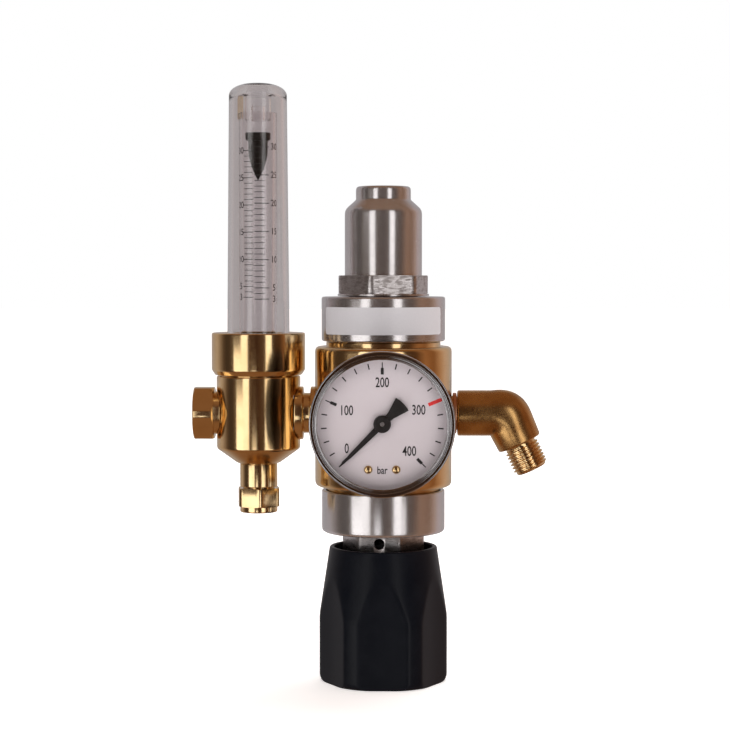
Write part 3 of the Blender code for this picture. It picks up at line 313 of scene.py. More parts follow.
class Look(Nodes):
    """Builds a procedural material. Textures use each piece's own coordinates, in millimetres."""

    def __init__(self, name, colour, roughness, metallic=0.0):
        self.material = bpy.data.materials.new(name)
        self.material.use_nodes = True
        super().__init__(self.material.node_tree)
        self.shader = self.tree.nodes["Principled BSDF"]
        self.put("Base Color", colour)
        self.put("Roughness", roughness)
        self.put("Metallic", metallic)
        scale = self.node("ShaderNodeVectorMath", operation="SCALE")
        scale.inputs["Scale"].default_value = 1 / MM
        self.link(self.node("ShaderNodeTexCoord").outputs["Object"], scale.inputs[0])
        self.place = scale.outputs[0]

    def put(self, socket, value):
        self.feed(self.shader.inputs[socket], value)

    def stretched(self, x, y, z):
        """The piece's coordinates with each axis scaled."""
        made = self.node("ShaderNodeVectorMath", operation="MULTIPLY")
        self.link(self.place, made.inputs[0])
        made.inputs[1].default_value = (x, y, z)
        return made.outputs[0]

    def round_grooves(self):
        """Coordinates that only change along a lathe's tool path: height and radius."""
        parts = self.node("ShaderNodeSeparateXYZ")
        self.link(self.place, parts.inputs[0])
        across = self.maths("MULTIPLY", parts.outputs[0], parts.outputs[0])
        radius = self.maths("SQRT", self.maths(
            "MULTIPLY_ADD", parts.outputs[1], parts.outputs[1], across))
        joined = self.node("ShaderNodeCombineXYZ")
        self.link(radius, joined.inputs[0])
        self.link(parts.outputs[2], joined.inputs[2])
        return joined.outputs[0]

    def noise(self, scale, vector=None, detail=3.0):
        made = self.node("ShaderNodeTexNoise")
        made.inputs["Scale"].default_value = scale
        made.inputs["Detail"].default_value = detail
        made.inputs["Roughness"].default_value = 0.55
        self.link(vector or self.place, made.inputs["Vector"])
        return made.outputs["Fac"]

    def bump(self, height, strength, distance, under=None):
        made = self.node("ShaderNodeBump")
        made.inputs["Strength"].default_value = strength
        made.inputs["Distance"].default_value = distance * MM
        self.link(height, made.inputs["Height"])
        if under:
            self.link(under, made.inputs["Normal"])
        return made.outputs["Normal"]

    def worn_edges(self, low=0.52, high=0.6):
        """One on convex edges, nought elsewhere."""
        shape = self.node("ShaderNodeNewGeometry")
        return self.spread(shape.outputs["Pointiness"], 0.0, 1.0, low, high)


def shade(colour, factor, lift=0.0):
    return tuple(min(1.0, c * factor + lift) for c in colour)


def turned_metal(name, colour, dark, roughness, groove=0.25, aniso=0.6, stain=0.5, metallic=1.0):
    """Metal off a lathe: fine rings, cloudy tarnish, brighter worn edges, small scratches."""
    look = Look(name, colour, roughness, metallic)
    grooves = look.round_grooves()
    rings = look.noise(5.0, grooves, 2.0)
    clouds = look.noise(0.09, detail=5.0)
    specks = look.noise(1.4, detail=2.0)
    scratches = look.noise(1.1, look.stretched(2.6, 2.6, 0.25), 2.0)
    tarnish = look.spread(clouds, 0.0, stain, 0.42, 0.72)
    base = look.mix(tarnish, colour, dark)
    ringed = look.mix(look.spread(rings, 0.0, 0.22), base, shade(colour, 0.8))
    look.put("Base Color", look.mix(look.worn_edges(), ringed, shade(colour, 1.12)))
    rough = look.spread(look.maths("MULTIPLY_ADD", specks, 0.5, look.maths("MULTIPLY", rings, 0.5)),
                        roughness * 0.75, roughness * 1.35)
    look.put("Roughness", look.maths("ADD", rough, look.maths("MULTIPLY", tarnish, 0.08)))
    look.put("Anisotropic", aniso)
    look.put("Anisotropic Rotation", ACROSS_GROOVES)
    tangent = look.node("ShaderNodeTangent", direction_type="RADIAL", axis="Z")
    look.put("Tangent", tangent.outputs[0])
    fine = look.bump(rings, groove, 0.012)
    look.put("Normal", look.bump(scratches, groove * 0.2, 0.008, fine))
    return look.material


def milled_metal(name, colour, dark, roughness):
    """Spanner faces: fine cutter lines, dents and scuffs from tools, and dull patches."""
    look = Look(name, colour, roughness, 1.0)
    lines = look.noise(2.2, look.stretched(0.15, 0.15, 3.0), 3.0)
    scuffs = look.noise(0.55, look.stretched(0.7, 0.7, 2.2), 5.0)
    dull = look.spread(scuffs, 0.0, 1.0, 0.46, 0.62)
    look.put("Base Color", look.mix(dull, colour, dark))
    look.put("Roughness", look.maths("ADD", look.spread(lines, roughness * 0.8, roughness * 1.2),
                                     look.maths("MULTIPLY", dull, 0.12)))
    dents = look.bump(look.spread(scuffs, 0.0, 1.0, 0.5, 0.56), 0.35, 0.03)
    look.put("Normal", look.bump(lines, 0.12, 0.01, dents))
    return look.material


def cast_metal(name, colour, dark, roughness):
    """Forged and pickled brass: soft orange-peel, pits and brown stains."""
    look = Look(name, colour, roughness, 1.0)
    clouds = look.noise(0.16, detail=5.0)
    peel = look.noise(0.9, detail=3.0)
    pits = look.noise(2.6, detail=2.0)
    stain = look.spread(clouds, 0.0, 0.75, 0.4, 0.68)
    look.put("Base Color", look.mix(stain, colour, dark))
    look.put("Roughness", look.spread(pits, roughness * 0.8, roughness * 1.5))
    soft = look.bump(peel, 0.04, 0.05)
    look.put("Normal", look.bump(look.spread(pits, 0.0, 1.0, 0.26, 0.32), 0.08, 0.02, soft))
    return look.material


def drawn_metal(name, colour, roughness):
    """Plain machined or drawn metal for the inner parts."""
    look = Look(name, colour, roughness, 1.0)
    grain = look.noise(3.0, look.round_grooves(), 3.0)
    clouds = look.noise(0.25, detail=4.0)
    look.put("Base Color", look.mix(look.spread(clouds, 0.0, 0.5), colour, shade(colour, 0.7)))
    look.put("Roughness", look.spread(grain, roughness * 0.8, roughness * 1.3))
    look.put("Normal", look.bump(grain, 0.15, 0.02))
    return look.material


def moulded(name, colour, roughness, grain=0.12, scuff=0.5, gloss=0.5):
    """Moulded plastic or rubber: spark-eroded grain, faint flow clouds, rubbed edges."""
    look = Look(name, colour, roughness)
    look.put("Specular IOR Level", gloss)
    grains = look.noise(6.0, detail=2.0)
    clouds = look.noise(0.12, detail=4.0)
    rubbed = look.maths("MULTIPLY", look.worn_edges(0.51, 0.58), scuff)
    base = look.mix(look.spread(clouds, 0.0, 0.35), colour, shade(colour, 1.5, 0.004))
    look.put("Base Color", look.mix(rubbed, base, shade(colour, 2.2, 0.01)))
    look.put("Roughness", look.spread(look.maths("MULTIPLY_ADD", clouds, 0.6, look.maths(
        "MULTIPLY", grains, 0.4)), roughness * 0.82, roughness * 1.2))
    look.put("Normal", look.bump(grains, grain, 0.03))
    return look.material


def printed(name, colour, roughness, speckle):
    """Paint or printing ink with a faint mottle."""
    look = Look(name, colour, roughness)
    mottle = look.noise(1.6, detail=4.0)
    darker = tuple(max(0.0, c - speckle) for c in colour)
    look.put("Base Color", look.mix(look.spread(mottle, 0.0, 0.6), colour, darker))
    look.put("Roughness", look.spread(mottle, roughness * 0.9, roughness * 1.15))
    look.put("Normal", look.bump(look.noise(5.0), 0.04, 0.02))
    return look.material


def clear(name, colour, roughness, ior, gloss, haze=0.02):
    """Clear moulded plastic with faint flow lines and handling haze."""
    look = Look(name, colour, roughness)
    look.put("Transmission Weight", 1.0)
    look.put("IOR", ior)
    look.put("Specular IOR Level", gloss)
    drift = look.noise(0.12, look.stretched(1.0, 1.0, 0.3), 3.0)
    look.put("Base Color", look.mix(look.spread(drift, 0.0, 1.0), colour, shade(colour, 0.95)))
    look.put("Roughness", look.spread(look.noise(0.8), roughness, roughness + haze))
    look.put("Normal", look.bump(drift, 0.02, 0.5))
    return look.material


def thin_glass(name, colour, reflection):
    """A flat pane as a weak mirror that lets the rest of the light straight through."""
    look = Look(name, colour, 0.02, 1.0)
    look.put("Alpha", reflection)
    smears = look.noise(0.15, look.stretched(1.0, 1.0, 0.4), 3.0)
    look.put("Base Color", look.mix(smears, colour, shade(colour, 0.9)))
    look.put("Roughness", look.spread(smears, 0.01, 0.04))
    look.put("Normal", look.bump(smears, 0.01, 0.3))
    return look.material


BRASS = turned_metal("brass_turned", (0.85, 0.62, 0.335), (0.68, 0.42, 0.17), 0.14)
BRASS_SMOOTH = turned_metal("brass_polished", (0.86, 0.635, 0.345), (0.70, 0.45, 0.20), 0.15, 0.12)
CAST_BRASS = cast_metal("brass_forged", (0.68, 0.41, 0.16), (0.42, 0.21, 0.07), 0.24)
ALUMINIUM = turned_metal("aluminium_turned", (0.63, 0.615, 0.625), (0.52, 0.50, 0.51), 0.2, 0.2,
                         0.65, 0.3, metallic=0.93)
MILLED = milled_metal("aluminium_milled", (0.60, 0.58, 0.585), (0.42, 0.40, 0.405), 0.3)
CHROME = turned_metal("bezel_plating", (0.52, 0.52, 0.54), (0.40, 0.40, 0.41), 0.07, 0.02, 0.0, 0.2)
CASE_STEEL = turned_metal("case_blackened", (0.055, 0.056, 0.06), (0.035, 0.035, 0.036), 0.33, 0.15)
STEEL = drawn_metal("machined_steel", (0.56, 0.56, 0.57), 0.3)
SPRING = drawn_metal("spring_wire", (0.34, 0.34, 0.36), 0.34)
COPPER = drawn_metal("annealed_copper", (0.78, 0.40, 0.24), 0.32)
SINTER = cast_metal("sintered_bronze", (0.46, 0.30, 0.17), (0.24, 0.14, 0.07), 0.6)
INNER_BRASS = drawn_metal("inner_brass", (0.78, 0.55, 0.26), 0.28)
KNOB_PLASTIC = moulded("knob_plastic", (0.003, 0.004, 0.007), 0.33, gloss=0.12)
FLOAT_PLASTIC = moulded("float_plastic", (0.003, 0.004, 0.004), 0.3, 0.05, gloss=0.2)
RUBBER = moulded("rubber", (0.02, 0.02, 0.02), 0.75, 0.2)
DIAL_PAINT = printed("dial_paint", (0.61, 0.565, 0.60), 0.5, 0.03)
LABEL_PAINT = printed("label_face", (0.60, 0.60, 0.635), 0.32, 0.04)
INK = printed("black_ink", (0.015, 0.015, 0.018), 0.5, 0.01)
POINTER_PAINT = printed("pointer_paint", (0.008, 0.008, 0.009), 0.45, 0.006)
RED_PAINT = printed("red_mark", (0.72, 0.03, 0.03), 0.45, 0.05)
CLEAR = clear("clear_acrylic", (0.985, 0.972, 0.972), 0.015, 1.49, 0.07)
CLEAR_INNER = clear("clear_tube", (0.985, 0.962, 0.966), 0.02, 1.3, 0.0)
AMBER = clear("amber_acrylic", (0.93, 0.80, 0.62), 0.03, 1.45, 0.2)
WINDOW = thin_glass("gauge_glass", (0.93, 0.95, 0.97), 0.035)

# The looks of each material slot, first the one that the frame's own nodes take.
SLOT_LOOKS = {
    "brass": (INNER_BRASS, BRASS, BRASS_SMOOTH, CAST_BRASS), "aluminium": (ALUMINIUM,),
    "steel": (STEEL, CASE_STEEL), "spring_steel": (SPRING,), "chrome": (CHROME,),
    "copper": (COPPER,), "black_plastic": (KNOB_PLASTIC,),
    "clear_plastic": (CLEAR_INNER, CLEAR, AMBER), "window_plastic": (WINDOW,),
    "dial_white": (DIAL_PAINT,), "pointer_black": (POINTER_PAINT, INK, RED_PAINT),
    "float_black": (FLOAT_PLASTIC,), "label_grey": (LABEL_PAINT,), "rubber": (RUBBER,),
    "sinter": (SINTER,),
}


def dress_frame():
    """Every CAD node that stays visible takes the procedural look of its slot."""
    slots = {part["node"]: part["material_slot"] for part in frame["record"]["subparts"]}
    for node, obj in frame["nodes"].items():
        obj.data.materials.clear()
        obj.data.materials.append(SLOT_LOOKS[slots[node]][0])


# --- Regulator body and covers ---

BODY_R, COLLAR_R, COVER_R, BONNET_R = 25.5, 21.3, 23.0, 22.95
PORT_R = 6.9
HOUSING_CORNER, BONNET_CORNER = math.radians(13.7), math.radians(-6.0)
HOUSING_HEX, BONNET_HEX = 30.0, 27.0


def make_body():
    body = turned("body_casting", [
        (0, 33), (20, 33, 0.4), (20, 26.6), (COLLAR_R, 26.6, 0.3), (COLLAR_R, 25),
        (BODY_R, 25, 2.2), (BODY_R, -27.2, 2.9), (21, -27.2), (21, -31, 0.3),
        (20, -31), (20, -34, 0.4), (0, -34),
    ], BRASS, segments=LARGE, replaces=["regulator_body"])
    cut(body,
        cutter(10.4, -27, -24.7, turn=RIGHT),
        cutter(8.9, 24.4, 27, turn=FORWARD),
        cutter(PORT_R, 16, 27, turn=RIGHT),
        cutter(PORT_R, -27, -17, turn=RIGHT),
        cutter(PORT_R, 14, 27, turn=FORWARD))
    soften(body, 0.25, 2, 50)


def make_cover():
    turned("cover_ring", [
        (COVER_R, 43.4, 0.9), (COVER_R, 26.9, 0.9), (20.3, 26.9, 0.2), (20.3, 35.4), (15.5, 35.4),
        (15.5, 38), (13.1, 38), (13.1, 43.4, 0.2),
    ], ALUMINIUM, segments=LARGE, replaces=["upper_cover"])
    make_label()


def make_label():
    """A thin plate with rounded corners, bent round the front of the cover ring."""
    arc, thick, lift = COVER_R * math.radians(64.5), 0.4, 0.05
    mesh = filled_mesh("label_face", round_rectangle(-arc, arc, 29.7, 39.7, 1.2), thick / 2)
    wrap(mesh, COVER_R + lift + thick / 2, 0.8)
    add("label_face", mesh, LABEL_PAINT, replaces=["label_plate"])


def round_rectangle(left, right, low, high, corner, steps=6):
    points = []
    for cx, cy, first in ((right - corner, high - corner, 0), (left + corner, high - corner, 90),
                          (left + corner, low + corner, 180), (right - corner, low + corner, 270)):
        for i in range(steps + 1):
            angle = math.radians(first + 90 * i / steps)
            points.append((cx + corner * math.cos(angle), cy + corner * math.sin(angle)))
    return points


def filled_mesh(name, outline, depth, bevel=0.0):
    """A flat plate inside an outline, in millimetres, which reaches a depth to either side."""
    curve = bpy.data.curves.new(name, "CURVE")
    curve.dimensions = "2D"
    curve.fill_mode = "BOTH"
    curve.extrude = depth
    curve.bevel_depth = bevel
    curve.bevel_resolution = 1
    spline = curve.splines.new("POLY")
    spline.use_cyclic_u = True
    spline.points.add(len(outline) - 1)
    for point, (x, y) in zip(spline.points, outline):
        point.co = (x, y, 0, 1)
    return curve_mesh(curve)


def curve_mesh(curve):
    """The mesh of a curve or text in millimetres, with its caps welded."""
    source = stand("source", curve)
    graph = bpy.context.evaluated_depsgraph_get()
    mesh = bpy.data.meshes.new_from_object(source.evaluated_get(graph))
    bpy.data.objects.remove(source)
    welded = bmesh.new()
    welded.from_mesh(mesh)
    bmesh.ops.remove_doubles(welded, verts=welded.verts, dist=1e-5)
    welded.to_mesh(mesh)
    welded.free()
    mesh.materials.clear()
    return mesh


def wrap(mesh, radius, step):
    """Bends a flat mesh in millimetres, x along the arc and y up, round a vertical cylinder whose
    front faces -Y, and turns it into metres."""
    made = bmesh.new()
    made.from_mesh(mesh)
    low = min(v.co.x for v in made.verts)
    high = max(v.co.x for v in made.verts)
    cuts = int((high - low) / step)
    for i in range(1, cuts):
        x = low + (high - low) * i / cuts
        bmesh.ops.bisect_plane(made, geom=[*made.verts, *made.edges, *made.faces],
                               plane_co=(x, 0, 0), plane_no=(1, 0, 0))
    for vertex in made.verts:
        x, y, lift = vertex.co
        angle = x / radius
        vertex.co = (math.sin(angle) * (radius + lift) * MM,
                     -math.cos(angle) * (radius + lift) * MM, y * MM)
    bmesh.ops.recalc_face_normals(made, faces=made.faces)
    made.to_mesh(mesh)
    made.free()


def make_housing():
    """Bell, hexagon and foot of the fixed first stage, with the set screw's bore on top."""
    obj = turned("stage1_bell", [
        (0, 72), (4, 72), (4, 84.3, 0.5), (10.2, 84.3, 1.5), (10.2, 79.3, 0.4),
        (14.35, 75.6, 1.6), (14.35, 51.3),
        *hex_rings(HOUSING_HEX, HOUSING_CORNER, 51.3, 44.5, land=1.1),
        (17, 44.5, 0.2), (17, 43.7), (12.8, 43.7), (12.8, 38.4), (0, 38.4),
    ], ALUMINIUM, segments=LARGE, start=HOUSING_CORNER, replaces=["stage1_housing"])
    soften(obj, 0.16, 2, 28)
    mill(obj, 44.6, 51.2, 14.6)
    screw = turned("set_screw", [
        (0, 77), hex_hole(4, 77), hex_hole(4, 80), (3.2, 80.3, 0.2), (3.75, 79.8, 0.2),
        (3.75, 68.2), (2.6, 66.8, 0.3), (0, 66.8),
    ], STEEL, segments=SMALL, replaces=["stage1_set_screw"])
    soften(screw, 0.06, 1, 45)


def hex_hole(flats, height):
    return lambda angle: (hex_radius(flats, 0.0, angle), height)


def mill(obj, low, high, radius):
    """Gives the spanner faces between two heights their own finish."""
    obj.data.materials.append(MILLED)
    for face in obj.data.polygons:
        x, y, z = face.center / MM
        if low < z < high and math.hypot(x, y) > radius and abs(face.normal.z) < 0.3:
            face.material_index = 1


def make_bonnet():
    """Lower clamp ring with its thin lip round the body's neck, and the hexagon neck below."""
    obj = turned("bonnet_shell", [
        (21.5, -31.3), (21.5, -28.6, 0.3), (BONNET_R, -28.6, 0.5), (BONNET_R, -44.2, 1.6),
        (16.4, -44.2),
        *hex_rings(BONNET_HEX, BONNET_CORNER, -44.0, -57.0, chamfer_high=False),
        (13.3, -57), (13.3, -88, 0.6), (5.2, -88, 0.4), (5.2, -82), (11.3, -82),
        (11.3, -41), (15.5, -41), (15.5, -36.3), (20.3, -36.3), (20.3, -31.3),
    ], ALUMINIUM, segments=LARGE, start=BONNET_CORNER, replaces=["lower_bonnet"])
    across = Matrix.Rotation(BONNET_CORNER, 3, "Z") @ FORWARD
    cut(obj, cutter(2.05, -20, 20, (0, 0, -47.5), across, SMALL))
    soften(obj, 0.18, 2, 28)
    mill(obj, -56.8, -44.4, 13.35)


# --- Knob ---

KNOB_R, KNOB_FLAT = 23.9, 21.9


def knob_ring(radius, height):
    """A ring of the knob's skin: a circle that six flats cut, with softened ribs between."""
    def point(angle):
        offset = (angle + math.pi / 2 + math.pi / 6) % (math.pi / 3) - math.pi / 6
        flat = KNOB_FLAT / math.cos(offset) - 0.25 * math.cos(offset * 4.2)
        soft = 0.18
        return 0.5 * (radius + flat - math.hypot(radius - flat, soft)), height
    return point


def make_knob():
    """The knob: a tapered upper half, a straight grip below its waist and a rounded end."""
    bottom = height_of("knob", 0)
    floor, waist, rounding = bottom + 5.4, -76.5, bottom + 2.9
    grip = waist - 5.5
    outer = [(20.1 + 3.8 * i / 30, -50.3 - 25.2 * i / 30) for i in range(30)]
    outer += rounded([(23.8, waist + 1.3), (KNOB_R, waist, 1.0), (KNOB_R, grip)], 3)
    outer += [(KNOB_R, grip + (rounding - grip) * i / 12) for i in range(1, 12)]
    for i in range(9):
        angle = math.pi / 2 * i / 8
        outer.append((KNOB_R - 1.6 + 1.6 * math.cos(angle), rounding - 2.9 * math.sin(angle)))
    rings = [knob_ring(r, z) for r, z in outer]
    profile = [
        (2.2, floor), (18.4, floor, 1), (18.4, -49.8, 0.4), (19.7, -49.8, 0.4), (19.95, -50.05),
        *rings, (11.6, bottom), (11.3, bottom + 0.2), (11.3, bottom + 0.9), (4.0, bottom + 0.9),
        (2.2, bottom + 2.3),
    ]
    turned("knob_shell", profile, KNOB_PLASTIC, segments=240,
           start=-math.pi / 2, body="knob", replaces=["knob"], sharp=50)
    turned("knob_end_cap", [
        (0, bottom + 0.5), (10.9, bottom + 0.5, 0.1), (10.95, bottom + 0.08, 0.25),
        (0, bottom + 0.08),
    ], KNOB_PLASTIC, body="knob", replaces=["knob_cap"])


# --- Inlet elbow ---

CORNER_X, ARM_R, LEG_R, BORE_R = 45.6, 8.5, 8.75, 3.8
ELBOW_TILT = math.radians(25.3)
SHOULDER, INLET_END, INLET_R, INLET_PITCH, THREAD_DEPTH = 12.4, 23.2, 6.58, 1.337, 0.82
ARM_START, ELBOW_FACE = 17.2, 27.6


def loft(name, rows, look, **riding):
    """A closed tube through rows of points in millimetres, the last row joining the first."""
    made = bmesh.new()
    verts = [[made.verts.new(p * MM) for p in row] for row in rows]
    count = len(rows[0])
    for upper, lower in zip(verts, verts[1:] + verts[:1]):
        for j in range(count):
            k = (j + 1) % count
            made.faces.new((upper[j], upper[k], lower[k], lower[j]))
    bmesh.ops.recalc_face_normals(made, faces=made.faces)
    return add(name, mesh_of(name, made), look, **riding)


def elbow_row(centre, heading, radius, bulge=0.0, wave=None):
    """One ring across the elbow's path in the XZ plane. Heading is measured down from +X, the
    bulge swells the outside of the bend, and the wave is a thread's offset."""
    outward, side = Vector((math.sin(heading), 0, math.cos(heading))), Vector((0, -1, 0))
    row = []
    for j in range(LARGE):
        angle = math.tau * j / LARGE
        r = radius + bulge * max(0.0, math.cos(angle)) ** 1.5
        if wave:
            r += wave(angle)
        row.append(centre + outward * r * math.cos(angle) + side * r * math.sin(angle))
    return row


def thread_wave(distance):
    """A helical thread with flattened crests and roots, fading out at its end and its undercut."""
    fade = min(1.0, max(0.0, (INLET_END - 0.5 - distance) / 0.9),
               max(0.0, (distance - SHOULDER - 1.0) / 0.6))

    def wave(angle):
        phase = (distance / INLET_PITCH - angle / math.tau) % 1.0
        tooth = min(1.0, max(0.0, 1.5 - abs(phase - 0.5) * 5.2 + 0.35))
        return THREAD_DEPTH * tooth * fade
    return wave


def make_elbow():
    """A horizontal arm, a bend that is swollen outside, and a threaded leg, bored right through."""
    corner = Vector((CORNER_X, 0, 0))
    turn = math.pi / 2 - ELBOW_TILT
    down = Vector((math.cos(turn), 0, -math.sin(turn)))
    bend_r = 8.6
    reach = bend_r * math.tan(turn / 2)
    middle = corner + Vector((-reach, 0, -bend_r))

    def arm_row(x, radius):
        return elbow_row(Vector((x, 0, 0)), 0.0, radius)

    def bend_row(share, radius, bulge=0.0):
        heading = turn * share
        outward = Vector((math.sin(heading), 0, math.cos(heading)))
        return elbow_row(middle + outward * bend_r, heading, radius, bulge)

    def leg_row(distance, radius, wave=None):
        return elbow_row(corner + down * distance, turn, radius, wave=wave)

    rows = [arm_row(x, r) for x, r in rounded([
        (ARM_START, 6.5), (ELBOW_FACE - 1.4, 6.5), (ELBOW_FACE - 1.2, 6.3), (ELBOW_FACE, 6.3),
        (ELBOW_FACE, ARM_R, 0.7), (36, ARM_R), (CORNER_X - 5.2, ARM_R)])]
    for i in range(25):
        t = i / 24
        rows.append(bend_row(t, ARM_R + (LEG_R - ARM_R) * t, 1.25 * math.sin(math.pi * t) ** 1.3))
    rows += [leg_row(distance, r) for distance, r in rounded([
        (reach + 0.4, LEG_R), (8.5, LEG_R - 0.15), (SHOULDER, LEG_R - 0.4, 0.8),
        (SHOULDER + 0.1, 5.9, 0.2), (SHOULDER + 0.9, 5.75)])]
    root = INLET_R - THREAD_DEPTH
    steps = 90
    for i in range(steps):
        distance = SHOULDER + 1.0 + (INLET_END - SHOULDER - 1.5) * i / (steps - 1)
        rows.append(leg_row(distance, root, thread_wave(distance)))
    rows += [leg_row(distance, r) for distance, r in (
        (INLET_END - 0.25, root - 0.05), (INLET_END, root - 0.4), (INLET_END, BORE_R + 0.3),
        (INLET_END - 0.3, BORE_R), (reach, BORE_R))]
    rows += [bend_row(i / 12, BORE_R) for i in range(12, -1, -1)] + [arm_row(ARM_START, BORE_R)]
    obj = loft("elbow_forging", rows, CAST_BRASS, replaces=["inlet_elbow"], sharp=40)
    obj.data.materials.append(BRASS_SMOOTH)
    for face in obj.data.polygons:
        centre = face.center / MM - corner
        if centre.dot(down) > SHOULDER - 0.2:
            face.material_index = 1
    turned("elbow_washer", [(7.6, 27.25, 0.3), (7.6, 25.9, 0.3), (6.9, 25.9), (6.9, 27.25)],
           COPPER, turn=RIGHT, replaces=["elbow_seal"])


# --- Outlet joint ---

BOLT_HEX = 19.0


def seal_section(radius, level, size, steps):
    """The round section of a rubber seal."""
    angles = [math.tau * i / steps for i in range(steps)]
    return [(radius + size * math.cos(a), level - size * math.sin(a)) for a in angles]


def make_outlet_joint():
    adapter = turned("outlet_union", [
        (2.5, -17.8), (6.4, -17.8, 0.5), (6.4, -25), (9.9, -25, 0.5), (9.9, -27.1, 0.5),
        (7.5, -27.1, 0.5), (7.5, -29.8, 0.5), (9.9, -29.8, 0.5), (9.9, -33, 0.5), (8, -33),
        (8, -31.9), (6.4, -31.9), (6.4, -33), (5.5, -33, 0.3), (5.5, -21.8), (2.5, -21.8),
    ], BRASS_SMOOTH, turn=RIGHT, replaces=["outlet_adapter"])
    soften(adapter, 0.08, 1, 45)
    bolt = turned("hollow_bolt", [
        (2.2, -22.5), (4.8, -22.5, 0.2), (5.2, -23), (5.2, -60.5), (5.9, -60.5), (5.9, -61.6),
        (7.3, -61.6), (7.3, -60.5), (8, -60.5, 0.4), (8, -63),
        *hex_rings(BOLT_HEX, math.pi / 6, -63.0, -70.6, land=1.0, round_off=0.052),
        (7.9, -70.6, 0.2), (7.7, -70.45), (0, -70.45), (0, -52), (2.2, -50),
    ], BRASS_SMOOTH, turn=RIGHT, start=math.pi / 6, segments=LARGE, replaces=["banjo_bolt"])
    soften(bolt, 0.14, 2, 28)
    for side, x, radius in (("left", -60.95, 6.6), ("right", -32.55, 7.2)):
        turned(f"face_seal_{side}", seal_section(radius, x, 0.5, 12), RUBBER, turn=RIGHT,
               replaces=[f"banjo_seal_{side}"])


# --- Flowmeter ---

METER_R = 7.1
OUTLET_HEX, OUTLET_CORNER = 15.0, math.radians(-23.3)
DOME_TOP, DOME_RISE, DOME_R = height_of("flow_cover", 1), 4.6, 10.75
TUBE_CENTRE = (FLOW_X, 0, 0)


def make_flow_body():
    body = turned("flow_casting", [
        (0, 10.2), (5, 10.2), (5, 11.2), (7.4, 11.2), (7.4, 19, 0.2), (9.6, 19),
        (9.6, 23.9, 0.3), (14.1, 23.9, 0.4), (14.1, 13.9), (15.6, 13.9, 0.6),
        (15.6, -13.1, 0.8), (8, -18.6, 0.5), (6.2, -18.6, 0.2), (6.2, -15.5), (0, -15.5),
    ], BRASS, TUBE_CENTRE, segments=LARGE, replaces=["flow_body"])
    cut(body,
        cutter(5.9, -66, -28, turn=RIGHT),
        cutter(8.4, -66, -60.2, turn=RIGHT),
        cutter(10.4, -33.3, -28, turn=RIGHT))
    soften(body, 0.3, 3, 45)
    turned("ring_nut", [
        (12, 30, 0.4), (17.4, 30, 0.7), (17.4, 16.2, 0.5), (16.1, 14.3, 0.3),
        (14.4, 14.2), (14.4, 27.1), (12, 27.1),
    ], BRASS, TUBE_CENTRE, segments=LARGE, replaces=["tube_nut"])
    turned("cover_o_ring", seal_section(8.3, 20.6, 0.9, 16), RUBBER, TUBE_CENTRE,
           replaces=["cover_seal"])


def make_tubes():
    outer = []
    for i in range(25):
        share = math.sin(math.pi / 2 * i / 24)
        drop = DOME_RISE * (1 - math.sqrt(max(0.0, 1 - share ** 2.5)))
        outer.append((DOME_R * share, DOME_TOP - drop))
    outer += [(11.6, 27.2, 0.5), (13.6, 26.8, 0.2), (13.6, 24.7, 0.3), (9.9, 24.7, 0.3),
              (9, DOME_TOP - 4.7, 2.6), (6, DOME_TOP - 2.2, 1.6), (0, DOME_TOP - 2.2)]
    turned("cover_tube", outer, CLEAR, TUBE_CENTRE, segments=LARGE, replaces=["flow_cover"])
    turned("meter_tube", [
        (5.9, 111.5, 0.2), (METER_R, 111.5, 0.4), (METER_R, 11.5, 0.3), (2.5, 11.5, 0.2),
        (5.1, 14.5, 0.3),
    ], CLEAR_INNER, TUBE_CENTRE, replaces=["metering_tube"])
    top, foot = height_of("float_stop", 1), height_of("float_stop", 0)
    turned("stop_key", [
        (0, top - 0.6), (1.1, top - 0.6, 0.5), (1.1, foot + 0.8, 0.5), (0, foot + 0.8),
    ], AMBER, (FLOW_X - 6.4, -1.0, 0), segments=SMALL)
    turned("float_stop_plug", [
        (0, top), (6.6, top, 0.3), (6.8, top - 1.4, 0.3), (4.9, top - 1.8), (4.9, foot + 0.5, 0.4),
        (4, foot, 0.2), (2.2, foot, 0.2), (2.2, foot + 5.8, 0.3), (0, foot + 5.8),
    ], CLEAR_INNER, TUBE_CENTRE, replaces=["float_stop"])
    make_float()
    make_scales()


def make_float():
    notch_count = 6

    def notched(radius, height, depth):
        def ring(angle):
            closeness = abs((angle * notch_count / math.tau + 0.5) % 1.0 - 0.5) * 2
            return radius - depth * max(0.0, 1 - closeness * 3.2) ** 0.5, height
        return ring

    top, tip = height_of("flow_float", 1), height_of("flow_float", 0)
    nose = [(3.6 * (1 - (i / 24) ** 1.8), tip + 11.0 * (1 - i / 24)) for i in range(24)]
    turned("float_body", [
        (0, top - 0.8), (2.4, top - 0.7, 0.4), (3.1, top - 0.1, 0.3), notched(4.45, top, 0.4),
        notched(4.7, top - 0.3, 0.9), notched(4.65, top - 2.5, 0.9), notched(4.4, top - 2.8, 0.4),
        (3.7, top - 3.1), (3.6, top - 3.7, 0.3), *nose, (0, tip),
    ], FLOAT_PLASTIC, TUBE_CENTRE, body="float", replaces=["flow_float"], sharp=50)


# The printing ink's thickness, and the height of a capital letter as a share of its type size.
INK_THICKNESS, CAPITAL = 0.04, 0.7


def text_mesh(text, height, squeeze, weight=0.02):
    """Plain characters, centred, as a thin mesh in millimetres. Weight thickens their strokes."""
    curve = bpy.data.curves.new("print", "FONT")
    curve.body = text
    curve.size = height / CAPITAL
    curve.align_x = curve.align_y = "CENTER"
    curve.extrude = INK_THICKNESS / 2
    curve.offset = weight
    curve.resolution_u = 3
    mesh = curve_mesh(curve)
    mesh.transform(Matrix.Diagonal((squeeze, 1.0, 1.0, 1.0)))
    return mesh


